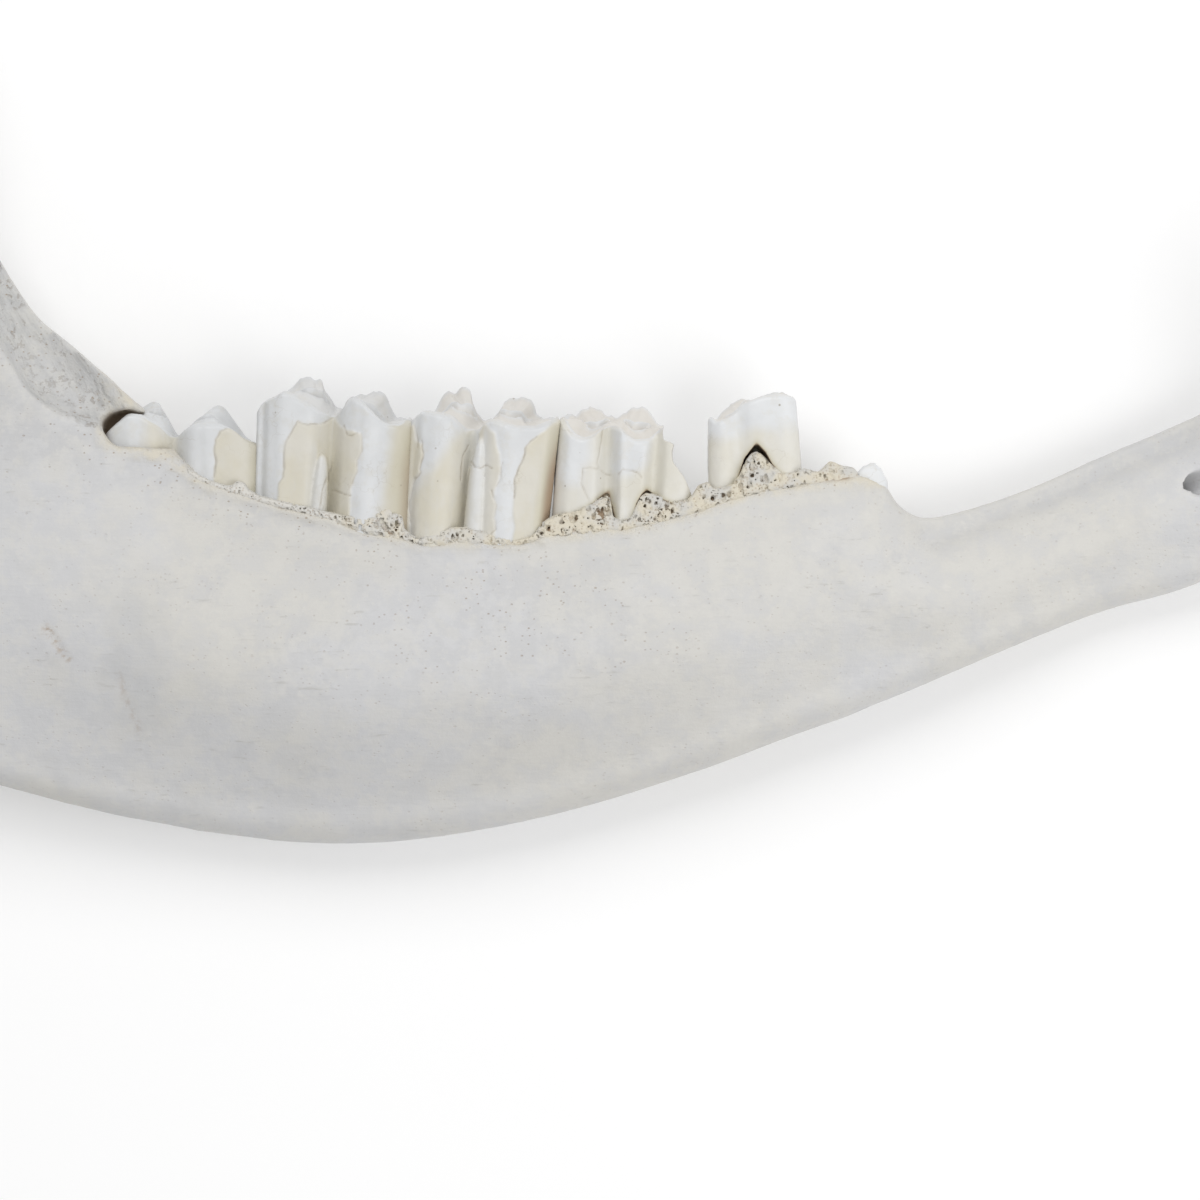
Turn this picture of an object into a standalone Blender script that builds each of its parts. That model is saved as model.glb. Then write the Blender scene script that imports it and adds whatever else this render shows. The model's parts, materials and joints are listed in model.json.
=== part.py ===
"""Right half of a young bison's lower jaw, life size, lying on its inner side.

Sizes are in millimetres in the jaw's own view frame: X runs forward along the jaw, Y towards the
crowns of the teeth, and Z out of the cheek side. Two placing values at the end lay it on Z = 0.
"""

import math

import bmesh
import bpy
import numpy as np
from mathutils import Matrix, Vector

MM = 0.001
TONGUE_VALLEY = 0.16

# One row for each station along the bone, from the incisor end back and up to the top of the ramus.
# Each gives the lower or rear border (x, y), the upper or front border (x, y), then the thickness
# and the middle of that thickness in Z at the lower border, the middle and the upper border.
STATIONS = (
    ((165.0, 51.0), (160.0, 61.0), (11, 12, 11), (17, 17, 17)),
    ((160.5, 42.0), (154.0, 58.5), (16, 19, 18), (18, 19, 19)),
    ((150.0, 26.0), (146.0, 52.5), (19, 25, 24), (19, 21, 21)),
    ((136.0, 12.5), (135.0, 44.5), (16, 22, 14), (14, 16, 17)),
    ((120.0, 3.4), (120.0, 37.4), (13, 18, 6), (10, 11, 12)),
    ((100.0, -2.6), (102.0, 29.4), (13, 17, 5), (9, 10, 10)),
    ((80.0, -10.6), (83.0, 21.6), (14, 18, 5), (11, 12, 12)),
    ((62.0, -18.2), (66.6, 16.9), (15, 20, 7), (12, 14, 15)),
    ((56.0, -20.6), (59.8, 19.4), (15, 21, 11), (12, 14, 17)),
    ((50.0, -23.0), (55.5, 26.0), (15, 22, 13), (12, 15, 17.5)),
    ((38.0, -27.2), (42.0, 24.6), (15, 24, 15), (12.5, 15.5, 18)),
    ((20.0, -33.8), (22.0, 19.4), (15, 26, 17), (12.5, 16, 18)),
    ((-2.0, -41.0), (0.0, 14.2), (15, 28, 18), (12, 16.5, 18)),
    ((-26.0, -46.3), (-22.0, 11.6), (15, 29, 20), (12, 16.5, 17.5)),
    ((-50.0, -48.7), (-45.0, 14.3), (15, 30, 20), (11.5, 16.5, 17.5)),
    ((-76.0, -46.8), (-68.0, 20.8), (14, 30, 20), (12, 17, 17)),
    ((-104.0, -41.2), (-86.0, 31.0), (13, 26, 19), (14, 18, 17.5)),
    ((-132.0, -33.6), (-96.0, 42.6), (12, 18, 18), (17, 20.5, 19)),
    ((-162.0, -28.0), (-104.5, 50.4), (13, 12, 17), (19, 22.5, 20.5)),
    ((-190.0, -14.0), (-112.0, 57.0), (14, 9, 14), (20, 23, 22)),
    ((-205.0, 14.0), (-119.0, 68.0), (14, 8, 12), (21, 23, 23)),
    ((-203.0, 45.0), (-125.0, 80.0), (13, 8, 11), (22, 23, 24)),
    ((-198.5, 74.0), (-130.0, 92.0), (12, 8, 10), (22, 23, 24)),
    ((-196.5, 97.0), (-133.5, 106.0), (12, 8, 9), (22, 23, 24)),
    ((-196.0, 112.0), (-135.0, 118.0), (12, 8, 8), (21, 22, 24.5)),
)
RINGS_PER_STATION = 5
ARC_STEPS = 4
FLANK_STEPS = 6
UPPER_SQUARENESS = 3.5
SMOOTHING_LOSS = 0.5

# Condylar process: height, centre x, centre z, half length in x and half width in z.
CONDYLE_RINGS = (
    (84, -190, 22, 7, 5.5),
    (98, -189.5, 21, 8.5, 7.5),
    (108, -190, 19, 9.5, 13),
    (114, -191, 18, 11.5, 18.5),
    (119, -192, 17.5, 12, 20.5),
    (123, -192.5, 17.5, 9, 18),
    (124.6, -192.5, 17.5, 3.5, 11),
)
# Coronoid process: centre x, centre y, centre z, half width along the blade and half thickness.
CORONOID_RINGS = (
    (-150, 88, 23.5, 17.0, 4.0),
    (-148, 106, 24.3, 16.4, 4.3),
    (-148.5, 122, 25.5, 15.0, 4.2),
    (-151.5, 138, 27, 12.8, 3.8),
    (-157.5, 152, 28.5, 10.0, 3.3),
    (-165.5, 163.5, 29.5, 7.0, 2.7),
    (-173, 170.5, 30, 3.4, 1.8),
)
# The notch between them: centre x and y, half width, half height, and the lean of its long axis.
NOTCH = (-172.5, 118, 11.8, 24, -4)

# Hollows. Each is a tube along its points (x, y, z), with the radius at each point.
TROUGH = (
    ((-84, 36.5, 29), 6.0),
    ((-91.5, 36, 28.5), 6.5),
    ((-99, 39, 28.5), 6.8),
    ((-107, 45.5, 28.5), 7.0),
    ((-113, 54.5, 29), 6.8),
    ((-119, 65, 30), 6.3),
    ((-125.5, 79, 31), 5.6),
    ((-131, 96, 32), 4.0),
)
MENTAL_FORAMEN = (
    ((126.5, 24.5, 27), 2.6),
    ((121.5, 23.8, 20.5), 2.5),
    ((116.5, 22.6, 15.5), 2.2),
    ((109.5, 20, 12), 1.8),
)
MANDIBULAR_FORAMEN = (
    ((-161, 71, 13), 4.8),
    ((-155.5, 65, 18.5), 4.3),
    ((-149.5, 58, 22), 3.2),
    ((-143, 51, 23.5), 2.2),
)
CRYPT = (
    ((-96.5, 36.8, 25), 3.8),
    ((-94.5, 36.3, 20), 4.2),
    ((-91.5, 35.5, 15), 3.6),
)
EMPTY_SOCKET = (
    ((43.6, 33, 18), 3.2),
    ((44.2, 25, 18), 2.4),
    ((44.6, 19, 18), 1.4),
)
FRONT_EMPTY_SOCKET = (
    ((50.2, 33, 18), 2.6),
    ((49.8, 26, 18), 2.1),
    ((49.4, 21, 18), 1.2),
)
# Bone left standing between the bared roots: top point, then the half sizes in x, y and z.
SEPTA = (
    ((-2.6, 15.0, 18), (6.5, 5.6, 7.0)),
    ((11.2, 17.0, 18), (5.0, 4.6, 6.6)),
    ((31.2, 22.6, 18), (4.8, 7.2, 5.6)),
    ((20.2, 20.6, 18), (2.2, 3.6, 5.0)),
    ((-10.4, 16.0, 13.5), (3.0, 17.0, 4.5)),
    ((43.8, 22.4, 18), (4.8, 4.9, 6.5)),
    ((49.6, 23.0, 18), (3.4, 3.0, 6.0)),
)

BONE_VOXEL = 1.3
BONE_SMOOTHING = 6
BONE_TRIANGLES = 6600


def hermite_through(knots, at):
    """A smooth curve through (position, value) knots that doesn't overshoot, read at the positions."""
    xs = np.array([k[0] for k in knots], float)
    ys = np.array([k[1] for k in knots], float)
    steps = np.diff(xs)
    slopes = np.diff(ys) / steps
    tangents = np.concatenate([[slopes[0]], np.zeros(len(slopes) - 1), [slopes[-1]]])
    for i in range(1, len(slopes)):
        if slopes[i - 1] * slopes[i] > 0:
            tangents[i] = 2 / (1 / slopes[i - 1] + 1 / slopes[i])
    at = np.clip(np.asarray(at, float), xs[0], xs[-1])
    i = np.clip(np.searchsorted(xs, at, side="right") - 1, 0, len(steps) - 1)
    t = (at - xs[i]) / steps[i]
    a = (1 + 2 * t) * (1 - t) ** 2
    b = t * (1 - t) ** 2
    c = t**2 * (3 - 2 * t)
    d = t**2 * (t - 1)
    return a * ys[i] + b * steps[i] * tangents[i] + c * ys[i + 1] + d * steps[i] * tangents[i + 1]


def catmull_rom(rows, per_span):
    """Rows of numbers, with per_span rows on a Catmull-Rom curve put in each span."""
    rows = np.array(rows, float)
    padded = np.vstack([2 * rows[0] - rows[1], rows, 2 * rows[-1] - rows[-2]])
    made = []
    for i in range(1, len(padded) - 2):
        before, here, after, beyond = padded[i - 1 : i + 3]
        for k in range(per_span):
            t = k / per_span
            made.append(
                0.5
                * (
                    2 * here
                    + (after - before) * t
                    + (2 * before - 5 * here + 4 * after - beyond) * t**2
                    + (3 * here - before - 3 * after + beyond) * t**3
                )
            )
    made.append(rows[-1])
    return np.array(made)


def smoothstep(x):
    x = np.clip(x, 0, 1)
    return x * x * (3 - 2 * x)


def new_object(name, mesh, collection):
    obj = bpy.data.objects.new(name, mesh)
    collection.objects.link(obj)
    return obj


def loft(name, rings, collection, ladder_caps=False):
    """A closed solid through rings of points in millimetres, each ring with the same number.

    A ladder cap joins the first half of a ring to its second half by rungs."""
    bm = bmesh.new()
    made = [[bm.verts.new(Vector(p) * MM) for p in ring] for ring in rings]
    count = len(made[0])
    for first, second in zip(made, made[1:]):
        for i in range(count):
            j = (i + 1) % count
            bm.faces.new((first[i], first[j], second[j], second[i]))
    for ring in (made[0], made[-1]):
        if ladder_caps:
            for i in range(count // 2 - 1):
                bm.faces.new((ring[i], ring[i + 1], ring[-2 - i], ring[-1 - i]))
        else:
            bm.faces.new(ring)
    bmesh.ops.recalc_face_normals(bm, faces=bm.faces)
    mesh = bpy.data.meshes.new(name)
    bm.to_mesh(mesh)
    bm.free()
    return new_object(name, mesh, collection)


def tube(name, route, collection, sides=16):
    """A closed tube along (point, radius) pairs, rounded off at both ends."""
    rows = catmull_rom([(*point, radius) for point, radius in route], 4)
    points, radii = rows[:, :3], rows[:, 3]
    along = np.gradient(points, axis=0)
    along /= np.linalg.norm(along, axis=1)[:, None]
    ends = (
        (points[0] - along[0] * radii[0] * 0.6, radii[0] * 0.55, along[0]),
        (points[-1] + along[-1] * radii[-1] * 0.6, radii[-1] * 0.55, along[-1]),
    )
    stops = [ends[0], *zip(points, radii, along), ends[1]]
    rings = []
    for point, radius, direction in stops:
        side = Vector(direction).cross(Vector((0.3, 0.5, 0.8))).normalized() * float(radius)
        other = Vector(direction).cross(side)
        turns = [2 * math.pi * i / sides for i in range(sides)]
        rings.append([Vector(point) + math.cos(a) * side + math.sin(a) * other for a in turns])
    return loft(name, rings, collection)


def plate_ring(row):
    """Points round one station: a plate whose thickness and middle vary between its two borders."""
    outer, inner = row[0:2], row[2:4]
    thick, middle = row[4:7], row[7:10]
    height = np.linalg.norm(inner - outer)
    outer = outer - (inner - outer) / height * SMOOTHING_LOSS
    height += SMOOTHING_LOSS
    r_outer = min(thick[0] / 2, height * 0.45)
    r_inner = min(thick[2] / 2, height * 0.45)
    quarter = np.linspace(0, math.pi / 2, ARC_STEPS + 1)
    power = 2 / UPPER_SQUARENESS
    flank = np.linspace(r_outer, height - r_inner, FLANK_STEPS + 2)[1:-1]
    rounded = r_outer * (1 - np.cos(quarter))
    squared = r_inner * (1 - np.cos(quarter) ** power)[::-1]
    depth = np.concatenate([rounded, flank, height - squared])
    fullness = np.concatenate([np.sin(quarter), np.ones(FLANK_STEPS), np.sin(quarter[::-1]) ** power])
    share = depth / height
    knots = (r_outer / height, 0.5, 1 - r_inner / height)
    half = hermite_through(tuple(zip(knots, thick)), share) / 2 * fullness
    centre = hermite_through(tuple(zip(knots, middle)), share)
    plan = outer + share[:, None] * (inner - outer)
    cheek_side = [(x, y, z) for (x, y), z in zip(plan, centre + half)]
    tongue_side = [(x, y, z) for (x, y), z in zip(plan, centre - half)]
    return cheek_side + tongue_side[-2:0:-1]


def bone_plate(collection):
    rows = [(*outer, *inner, *thick, *middle) for outer, inner, thick, middle in STATIONS]
    rings = [plate_ring(row) for row in catmull_rom(rows, RINGS_PER_STATION)]
    return loft("plate", rings, collection)


def condylar_process(collection, sides=24):
    """Neck and condyle: a bar set across the jaw on a neck that widens to it."""
    rings = []
    for y, x, z, half_x, half_z in catmull_rom(CONDYLE_RINGS, 3):
        turns = [2 * math.pi * i / sides for i in range(sides)]
        rings.append([(x + half_x * math.cos(a), y, z + half_z * math.sin(a)) for a in turns])
    return loft("condylar_process", rings, collection)


def coronoid_process(collection, sides=20):
    """A thin blade that rises and curves back."""
    rows = catmull_rom(CORONOID_RINGS, 4)
    along = np.gradient(rows[:, :2], axis=0)
    along /= np.linalg.norm(along, axis=1)[:, None]
    rings = []
    for (x, y, z, half_width, half_thick), (dx, dy) in zip(rows, along):
        ring = []
        for i in range(sides):
            a = 2 * math.pi * i / sides
            across = half_width * math.cos(a)
            ring.append((x + dy * across, y - dx * across, z + half_thick * math.sin(a)))
        rings.append(ring)
    return loft("coronoid_process", rings, collection)


def take(obj, name, collection):
    """Names a primitive and moves it to the collection."""
    obj.name = name
    for owner in obj.users_collection:
        owner.objects.unlink(obj)
    collection.objects.link(obj)


def septum(index, centre, half, collection):
    bpy.ops.mesh.primitive_uv_sphere_add(segments=16, ring_count=10, radius=1)
    obj = bpy.context.object
    obj.data.transform(Matrix.LocRotScale(Vector(centre) * MM, None, Vector(half) * MM))
    take(obj, f"septum_{index}", collection)


def notch_cutter(collection):
    """An upright oval drum through the ramus, between the condyle and the coronoid process."""
    x, y, half_width, half_height, lean = NOTCH
    bpy.ops.mesh.primitive_cylinder_add(vertices=48, radius=1, depth=2)
    obj = bpy.context.object
    turn = Matrix.Rotation(math.radians(lean), 3, "Z").to_quaternion()
    size = Vector((half_width, half_height, 30)) * MM
    obj.data.transform(Matrix.LocRotScale(Vector((x, y, 22)) * MM, turn, size))
    take(obj, "notch", collection)


# Cheek teeth. The rims are (x, y) knots along the crown's edge on each side, the foot is where the
# solid ends in its socket, and the valleys part the lobes on the cheek side. A pillar stands in a
# valley. An arch is the opening between two bared roots, as an outline.
CHEEK_TEETH = {
    "molar_3": {
        "top": (-99.0, -67.9),
        "foot": (-96.5, -69.2, 17.0),
        "width": (12.0, 14.0),
        "z": 17.5,
        "cheek_rim": (
            (-99, 33.2), (-93, 36.9), (-90, 36), (-85, 31.8), (-81, 34), (-76.8, 35.6), (-72, 34.2),
            (-67.9, 31.6),
        ),
        "tongue_rim": (
            (-99, 34), (-93, 38.1), (-89.4, 39.8), (-87, 37.6), (-84.8, 32.8), (-80, 36.8),
            (-76.6, 39), (-73.2, 37), (-70.6, 34.4), (-67.9, 32.2),
        ),
        "valleys": ((-85.0, -85.0, 0.55, 2.6),),
        "pit": 1.2,
    },
    "molar_2": {
        "top": (-68.1, -37.0),
        "foot": (-69.0, -39.0, 6.0),
        "width": (13.2, 16.6),
        "z": 17.5,
        "cheek_rim": (
            (-67.9, 38.6), (-65.6, 40.6), (-63, 41.5), (-58, 38.8), (-53, 36.4), (-50.4, 39.4),
            (-47.6, 39.8), (-43.4, 36.4), (-37.2, 35.4),
        ),
        "tongue_rim": (
            (-67.9, 39.2), (-62.6, 41.8), (-59.6, 44.7), (-56.2, 44.2), (-53, 38.4), (-49.2, 40.8),
            (-45.4, 41.8), (-42.6, 41), (-40, 36.6), (-37.2, 36),
        ),
        "valleys": ((-52.8, -55.2, 0.52, 3.0),),
        "pillar": {"foot": (-56.7, 10.0), "tip": (-56.0, 28.4), "z": (23.4, 22.4), "half": (2.0, 2.6)},
        "pit": 3.4,
    },
    "molar_1": {
        "top": (-37.2, -7.2),
        "foot": (-39.2, -12.0, 3.0),
        "width": (13.4, 16.4),
        "z": 17.8,
        "cheek_rim": (
            (-37, 35.6), (-34.8, 37.4), (-28.8, 36), (-25.2, 32.8), (-22.8, 34.9), (-20, 35.6),
            (-14, 34.8), (-8, 35),
        ),
        "tongue_rim": (
            (-37, 36.2), (-33.5, 37.8), (-31.4, 41.8), (-27.6, 42.6), (-25.6, 40.4), (-23.4, 36),
            (-20.9, 36.8), (-18.4, 40), (-15.5, 40.8), (-13.2, 40), (-11.2, 36.8), (-8, 36.4),
        ),
        "valleys": ((-24.9, -27.6, 0.5, 2.8),),
        "pillar": {"foot": (-25.3, 6.0), "tip": (-24.4, 32.4), "z": (23.8, 22.2), "half": (2.1, 2.8)},
        "pit": 2.6,
    },
    "milk_premolar_4": {
        "top": (-7.9, 18.7),
        "foot": (-9.6, 18.4, 9.0),
        "width": (11.6, 13.6),
        "z": 18.0,
        "cheek_rim": (
            (-7.7, 36), (-6, 33.6), (-3.6, 32.6), (0.2, 34), (2.1, 34.6), (4.8, 33.6), (8, 32.2),
            (11, 32.4), (13.4, 30.4), (15, 26.2), (18.7, 20.8),
        ),
        "tongue_rim": (
            (-7.7, 36.6), (-4.4, 37.2), (-2, 38.2), (1.3, 36.6), (5.2, 37), (7.8, 38.4), (10.9, 36),
            (13, 34), (14.9, 28), (18.7, 21.4),
        ),
        "valleys": ((1.8, 1.2, 0.42, 1.9), (11.8, 9.6, 0.4, 1.8)),
        "arches": (
            ((1.3, 21.4), (-1.4, 19.2), (-7.0, 15.8), (-7.6, 6.0), (2.6, 6.0), (2.5, 15.0), (2.1, 19.0)),
            ((9.5, 21.8), (8.2, 19.0), (7.0, 15.0), (6.8, 6.0), (12.6, 6.0), (12.9, 16.4), (12.2, 20.2)),
        ),
        "pit": 1.8,
    },
    "milk_premolar_3": {
        "top": (22.0, 39.0),
        "foot": (21.8, 40.9, 14.0),
        "width": (9.0, 10.6),
        "z": 18.0,
        "cheek_rim": ((22, 36.4), (24.8, 36.3), (28.3, 39.2), (32.9, 40.5), (36, 40.7), (39, 40.3)),
        "tongue_rim": ((22, 36.8), (26.4, 39.4), (29.8, 40.3), (35.5, 41.8), (39, 40.6)),
        "valleys": ((27.6, 29.0, 0.22, 1.8),),
        "arches": (
            (
                (31.0, 30.8), (29.4, 28.4), (27.6, 23.6), (26.6, 12.0), (36.4, 12.0), (35.2, 24.4),
                (32.6, 29.4),
            ),
        ),
        "pit": 1.0,
    },
    "premolar_2_tip": {
        "top": (51.6, 58.0),
        "foot": (52.2, 57.6, 17.0),
        "width": (5.0, 7.0),
        "z": 17.8,
        "cheek_rim": ((51.6, 25.6), (53.4, 26.9), (55, 27.3), (56.6, 26.2), (58, 24)),
        "tongue_rim": ((51.6, 25.6), (53.6, 27.1), (55, 27.5), (56.6, 26.4), (58, 24)),
        "valleys": (),
        "pit": 0.0,
    },
}
END_SQUARENESS = 4.5
END_FLAT = 0.985
RIDGE_FROM_EDGE = 0.24
RIM_ROUNDING = 0.9
CROWN_INSETS = (0.0, 0.22, 0.48, 0.75)
COLUMN_SPACING = 1.75


def tooth_point(spec, share, side, y, inset=0.0):
    """A point on a cheek tooth at a share of its length, on the cheek side (1) or tongue side (-1)."""
    foot_back, foot_front, foot_y = spec["foot"]
    top_y = max(y_ for _, y_ in spec["tongue_rim"])
    rise = np.clip((y - foot_y) / (top_y - foot_y), 0, 1)
    back = foot_back + (spec["top"][0] - foot_back) * rise
    front = foot_front + (spec["top"][1] - foot_front) * rise
    x = back + share * (front - back)
    place = END_FLAT * (2 * share - 1)
    ends = (1 - abs(place) ** END_SQUARENESS) ** (1 / END_SQUARENESS)
    half = (spec["width"][1] + (spec["width"][0] - spec["width"][1]) * rise) / 2
    for top_x, foot_x, depth, reach in spec["valleys"]:
        away = (x - (foot_x + (top_x - foot_x) * rise)) / reach
        half *= 1 - (depth if side > 0 else depth * TONGUE_VALLEY) * math.exp(-(away**2))
    middle = (back + front) / 2
    x = middle + (x - middle) * (1 - 0.3 * inset)
    return x, y, spec["z"] + side * half * ends * (1 - inset)


def crown_height(spec, share, side, inset):
    """How high the chewing surface is, an inset's share of the way from its rim to the middle."""
    x = spec["top"][0] + share * (spec["top"][1] - spec["top"][0])
    cheek = hermite_through(spec["cheek_rim"], x)
    tongue = hermite_through(spec["tongue_rim"], x)
    across = 0.5 + side * 0.5 * (1 - inset)
    middle = np.clip((across - RIDGE_FROM_EDGE) / (1 - 2 * RIDGE_FROM_EDGE), 0, 1)
    edge = min(1, (0.5 * inset) / RIDGE_FROM_EDGE)
    drop = RIM_ROUNDING * (1 - edge) ** 2
    pit = spec["pit"] * math.sin(math.pi * middle) ** 2 * smoothstep(min(share, 1 - share) / 0.16)
    return float(tongue + (cheek - tongue) * middle - drop - pit)


def tooth_mesh(name, spec, collection, rows=5):
    """A cheek tooth: rings round its wall, then rings inward over the chewing surface."""
    columns = max(6, round((spec["top"][1] - spec["top"][0]) / COLUMN_SPACING))
    turn = np.linspace(0, 1, columns + 1)
    shares = 0.4 * turn + 0.6 * (1 - np.cos(math.pi * turn)) / 2
    round_tooth = [(s, 1) for s in shares] + [(s, -1) for s in shares[::-1]]
    foot_y = spec["foot"][2]
    rings = []
    for row in range(rows):
        ring = []
        for share, side in round_tooth:
            y = foot_y + row / rows * (crown_height(spec, share, side, 0) - foot_y)
            ring.append(tooth_point(spec, share, side, y))
        rings.append(ring)
    for inset in CROWN_INSETS:
        ring = []
        for share, side in round_tooth:
            y = crown_height(spec, share, side, inset)
            ring.append(tooth_point(spec, share, side, y, inset))
        rings.append(ring)
    return loft(name, rings, collection, ladder_caps=True)


ARCH_DEPTH = 18.0
ARCH_FLOOR = -2.5


def pillar(name, spec, collection, sides=12):
    """The small column that stands between a molar's two lobes, as an upright cone with a round tip."""
    (x0, y0), (x1, y1) = spec["foot"], spec["tip"]
    rings = []
    for climb, fullness in ((0, 1), (0.35, 0.95), (0.65, 0.8), (0.85, 0.62), (0.95, 0.42), (1, 0.18)):
        x, y = x0 + (x1 - x0) * climb, y0 + (y1 - y0) * climb
        z = spec["z"][0] + (spec["z"][1] - spec["z"][0]) * climb
        turns = [2 * math.pi * i / sides for i in range(sides)]
        across, deep = (fullness * half for half in spec["half"])
        rings.append([(x + across * math.cos(a), y, z + deep * math.sin(a)) for a in turns])
    return loft(name, rings, collection)


def arch_cutter(name, outline, z, collection):
    """The opening between two roots, cut in from the cheek side and stopped short of the tongue side."""
    curve = bpy.data.curves.new(name, "CURVE")
    curve.dimensions = "2D"
    curve.fill_mode = "BOTH"
    curve.extrude = ARCH_DEPTH / 2 * MM
    spline = curve.splines.new("POLY")
    spline.points.add(len(outline) - 1)
    spline.use_cyclic_u = True
    for target, (x, y) in zip(spline.points, outline):
        target.co = (x * MM, y * MM, 0, 1)
    drawn = new_object(name, curve, collection)
    drawn.location.z = (z + ARCH_FLOOR + ARCH_DEPTH / 2) * MM
    bpy.context.view_layer.update()
    return curve_to_mesh(drawn, collection)


def curve_to_mesh(drawn, collection):
    graph = bpy.context.evaluated_depsgraph_get()
    mesh = bpy.data.meshes.new_from_object(drawn.evaluated_get(graph))
    bm = bmesh.new()
    bm.from_mesh(mesh)
    bmesh.ops.remove_doubles(bm, verts=bm.verts, dist=0.001 * MM)
    bmesh.ops.recalc_face_normals(bm, faces=bm.faces)
    bm.to_mesh(mesh)
    bm.free()
    place = drawn.matrix_world.copy()
    name = drawn.name
    bpy.data.objects.remove(drawn)
    obj = new_object(name, mesh, collection)
    mesh.transform(place)
    return obj


# Front teeth. Each is placed across the jaw from its middle line and forward along it, turned out
# by its fan angle, and given its crown's width, length and its root's half width.
MIDDLE_LINE_YAW = 12.0
MIDDLE_LINE_START = (108.0, 0.0)
FRONT_TEETH = {
    "incisor_1": {
        "forward": 54.0, "out": 8.4, "y": 54.5, "fan": 3, "pitch": 40,
        "width": 14.5, "length": 17.0, "root": 3.9,
    },
    "incisor_2": {
        "forward": 50.5, "out": 18.4, "y": 53.0, "fan": 13, "pitch": 39,
        "width": 10.0, "length": 13.0, "root": 3.0,
    },
    "incisor_3": {
        "forward": 44.5, "out": 25.0, "y": 51.5, "fan": 24, "pitch": 38,
        "width": 9.0, "length": 11.5, "root": 2.7,
    },
    "canine": {
        "forward": 40.0, "out": 27.0, "y": 47.0, "fan": 34, "pitch": 37,
        "width": 8.0, "length": 10.5, "root": 2.5,
    },
}
ROOT_LENGTH = 9.0


def front_tooth(name, spec, collection, sides=14):
    """A spade-shaped front tooth: a round root that flattens and widens to a thin edge."""
    half, length, root = spec["width"] / 2, spec["length"], spec["root"]
    # distance along the tooth, half width, half thickness and how far the ring is bowed to the tongue
    profile = (
        (-ROOT_LENGTH, root * 0.7, root * 0.7, 0.0),
        (-ROOT_LENGTH * 0.5, root * 0.9, root * 0.95, 0.0),
        (0.0, root, root * 1.05, 0.0),
        (length * 0.22, root * 1.2, root * 0.95, 0.1),
        (length * 0.5, half * 0.82, root * 0.72, 0.5),
        (length * 0.78, half * 0.98, root * 0.46, 1.2),
        (length * 0.95, half * 0.96, root * 0.26, 1.9),
        (length, half * 0.88, root * 0.16, 2.1),
    )
    yaw = math.radians(MIDDLE_LINE_YAW)
    forward = Vector((math.cos(yaw), 0, math.sin(yaw)))
    outward = Vector((-math.sin(yaw), 0, math.cos(yaw)))
    fan, pitch = math.radians(spec["fan"]), math.radians(spec["pitch"])
    level = math.cos(fan) * forward + math.sin(fan) * outward
    side = math.cos(fan) * outward - math.sin(fan) * forward
    axis = math.cos(pitch) * level + math.sin(pitch) * Vector((0, 1, 0))
    back = (math.cos(pitch) * Vector((0, 1, 0)) - math.sin(pitch) * level).normalized()
    start = Vector((MIDDLE_LINE_START[0], spec["y"], MIDDLE_LINE_START[1]))
    start = start + spec["forward"] * forward + spec["out"] * outward
    rings = []
    for along, half_width, half_thick, bow in profile:
        ring = []
        for i in range(sides):
            a = 2 * math.pi * i / sides
            across = half_width * math.cos(a)
            hollow = bow * 0.5 * (across / half) ** 2
            depth = half_thick * math.sin(a) + bow + hollow
            ring.append(start + axis * along + side * across + back * depth)
        rings.append(ring)
    return loft(name, rings, collection)


def use_only(obj):
    bpy.ops.object.select_all(action="DESELECT")
    bpy.context.view_layer.objects.active = obj
    obj.select_set(True)


def apply_modifier(obj, kind, **values):
    modifier = obj.modifiers.new(kind.lower(), kind)
    for key, value in values.items():
        setattr(modifier, key, value)
    use_only(obj)
    bpy.ops.object.modifier_apply(modifier=modifier.name)


def combine(obj, others, operation):
    """Joins or cuts obj with the closed meshes of a collection, then removes them."""
    apply_modifier(
        obj, "BOOLEAN", operation=operation, operand_type="COLLECTION", collection=others, solver="EXACT"
    )
    for other in list(others.objects):
        bpy.data.objects.remove(other)
    bpy.data.collections.remove(others)


def keep_largest(obj):
    """Keeps the piece with the most faces and removes loose scraps and sealed hollows."""
    bm = bmesh.new()
    bm.from_mesh(obj.data)
    left = set(bm.verts)
    shells = []
    while left:
        shell = set()
        edge = [left.pop()]
        while edge:
            vert = edge.pop()
            shell.add(vert)
            near = [e.other_vert(vert) for e in vert.link_edges]
            edge += [v for v in near if v in left]
            left.difference_update(near)
        shells.append(shell)
    shells.sort(key=len)
    bmesh.ops.delete(bm, geom=[v for shell in shells[:-1] for v in shell], context="VERTS")
    bm.to_mesh(obj.data)
    bm.free()


def side_collection(name):
    made = bpy.data.collections.new(name)
    bpy.context.scene.collection.children.link(made)
    return made


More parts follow.
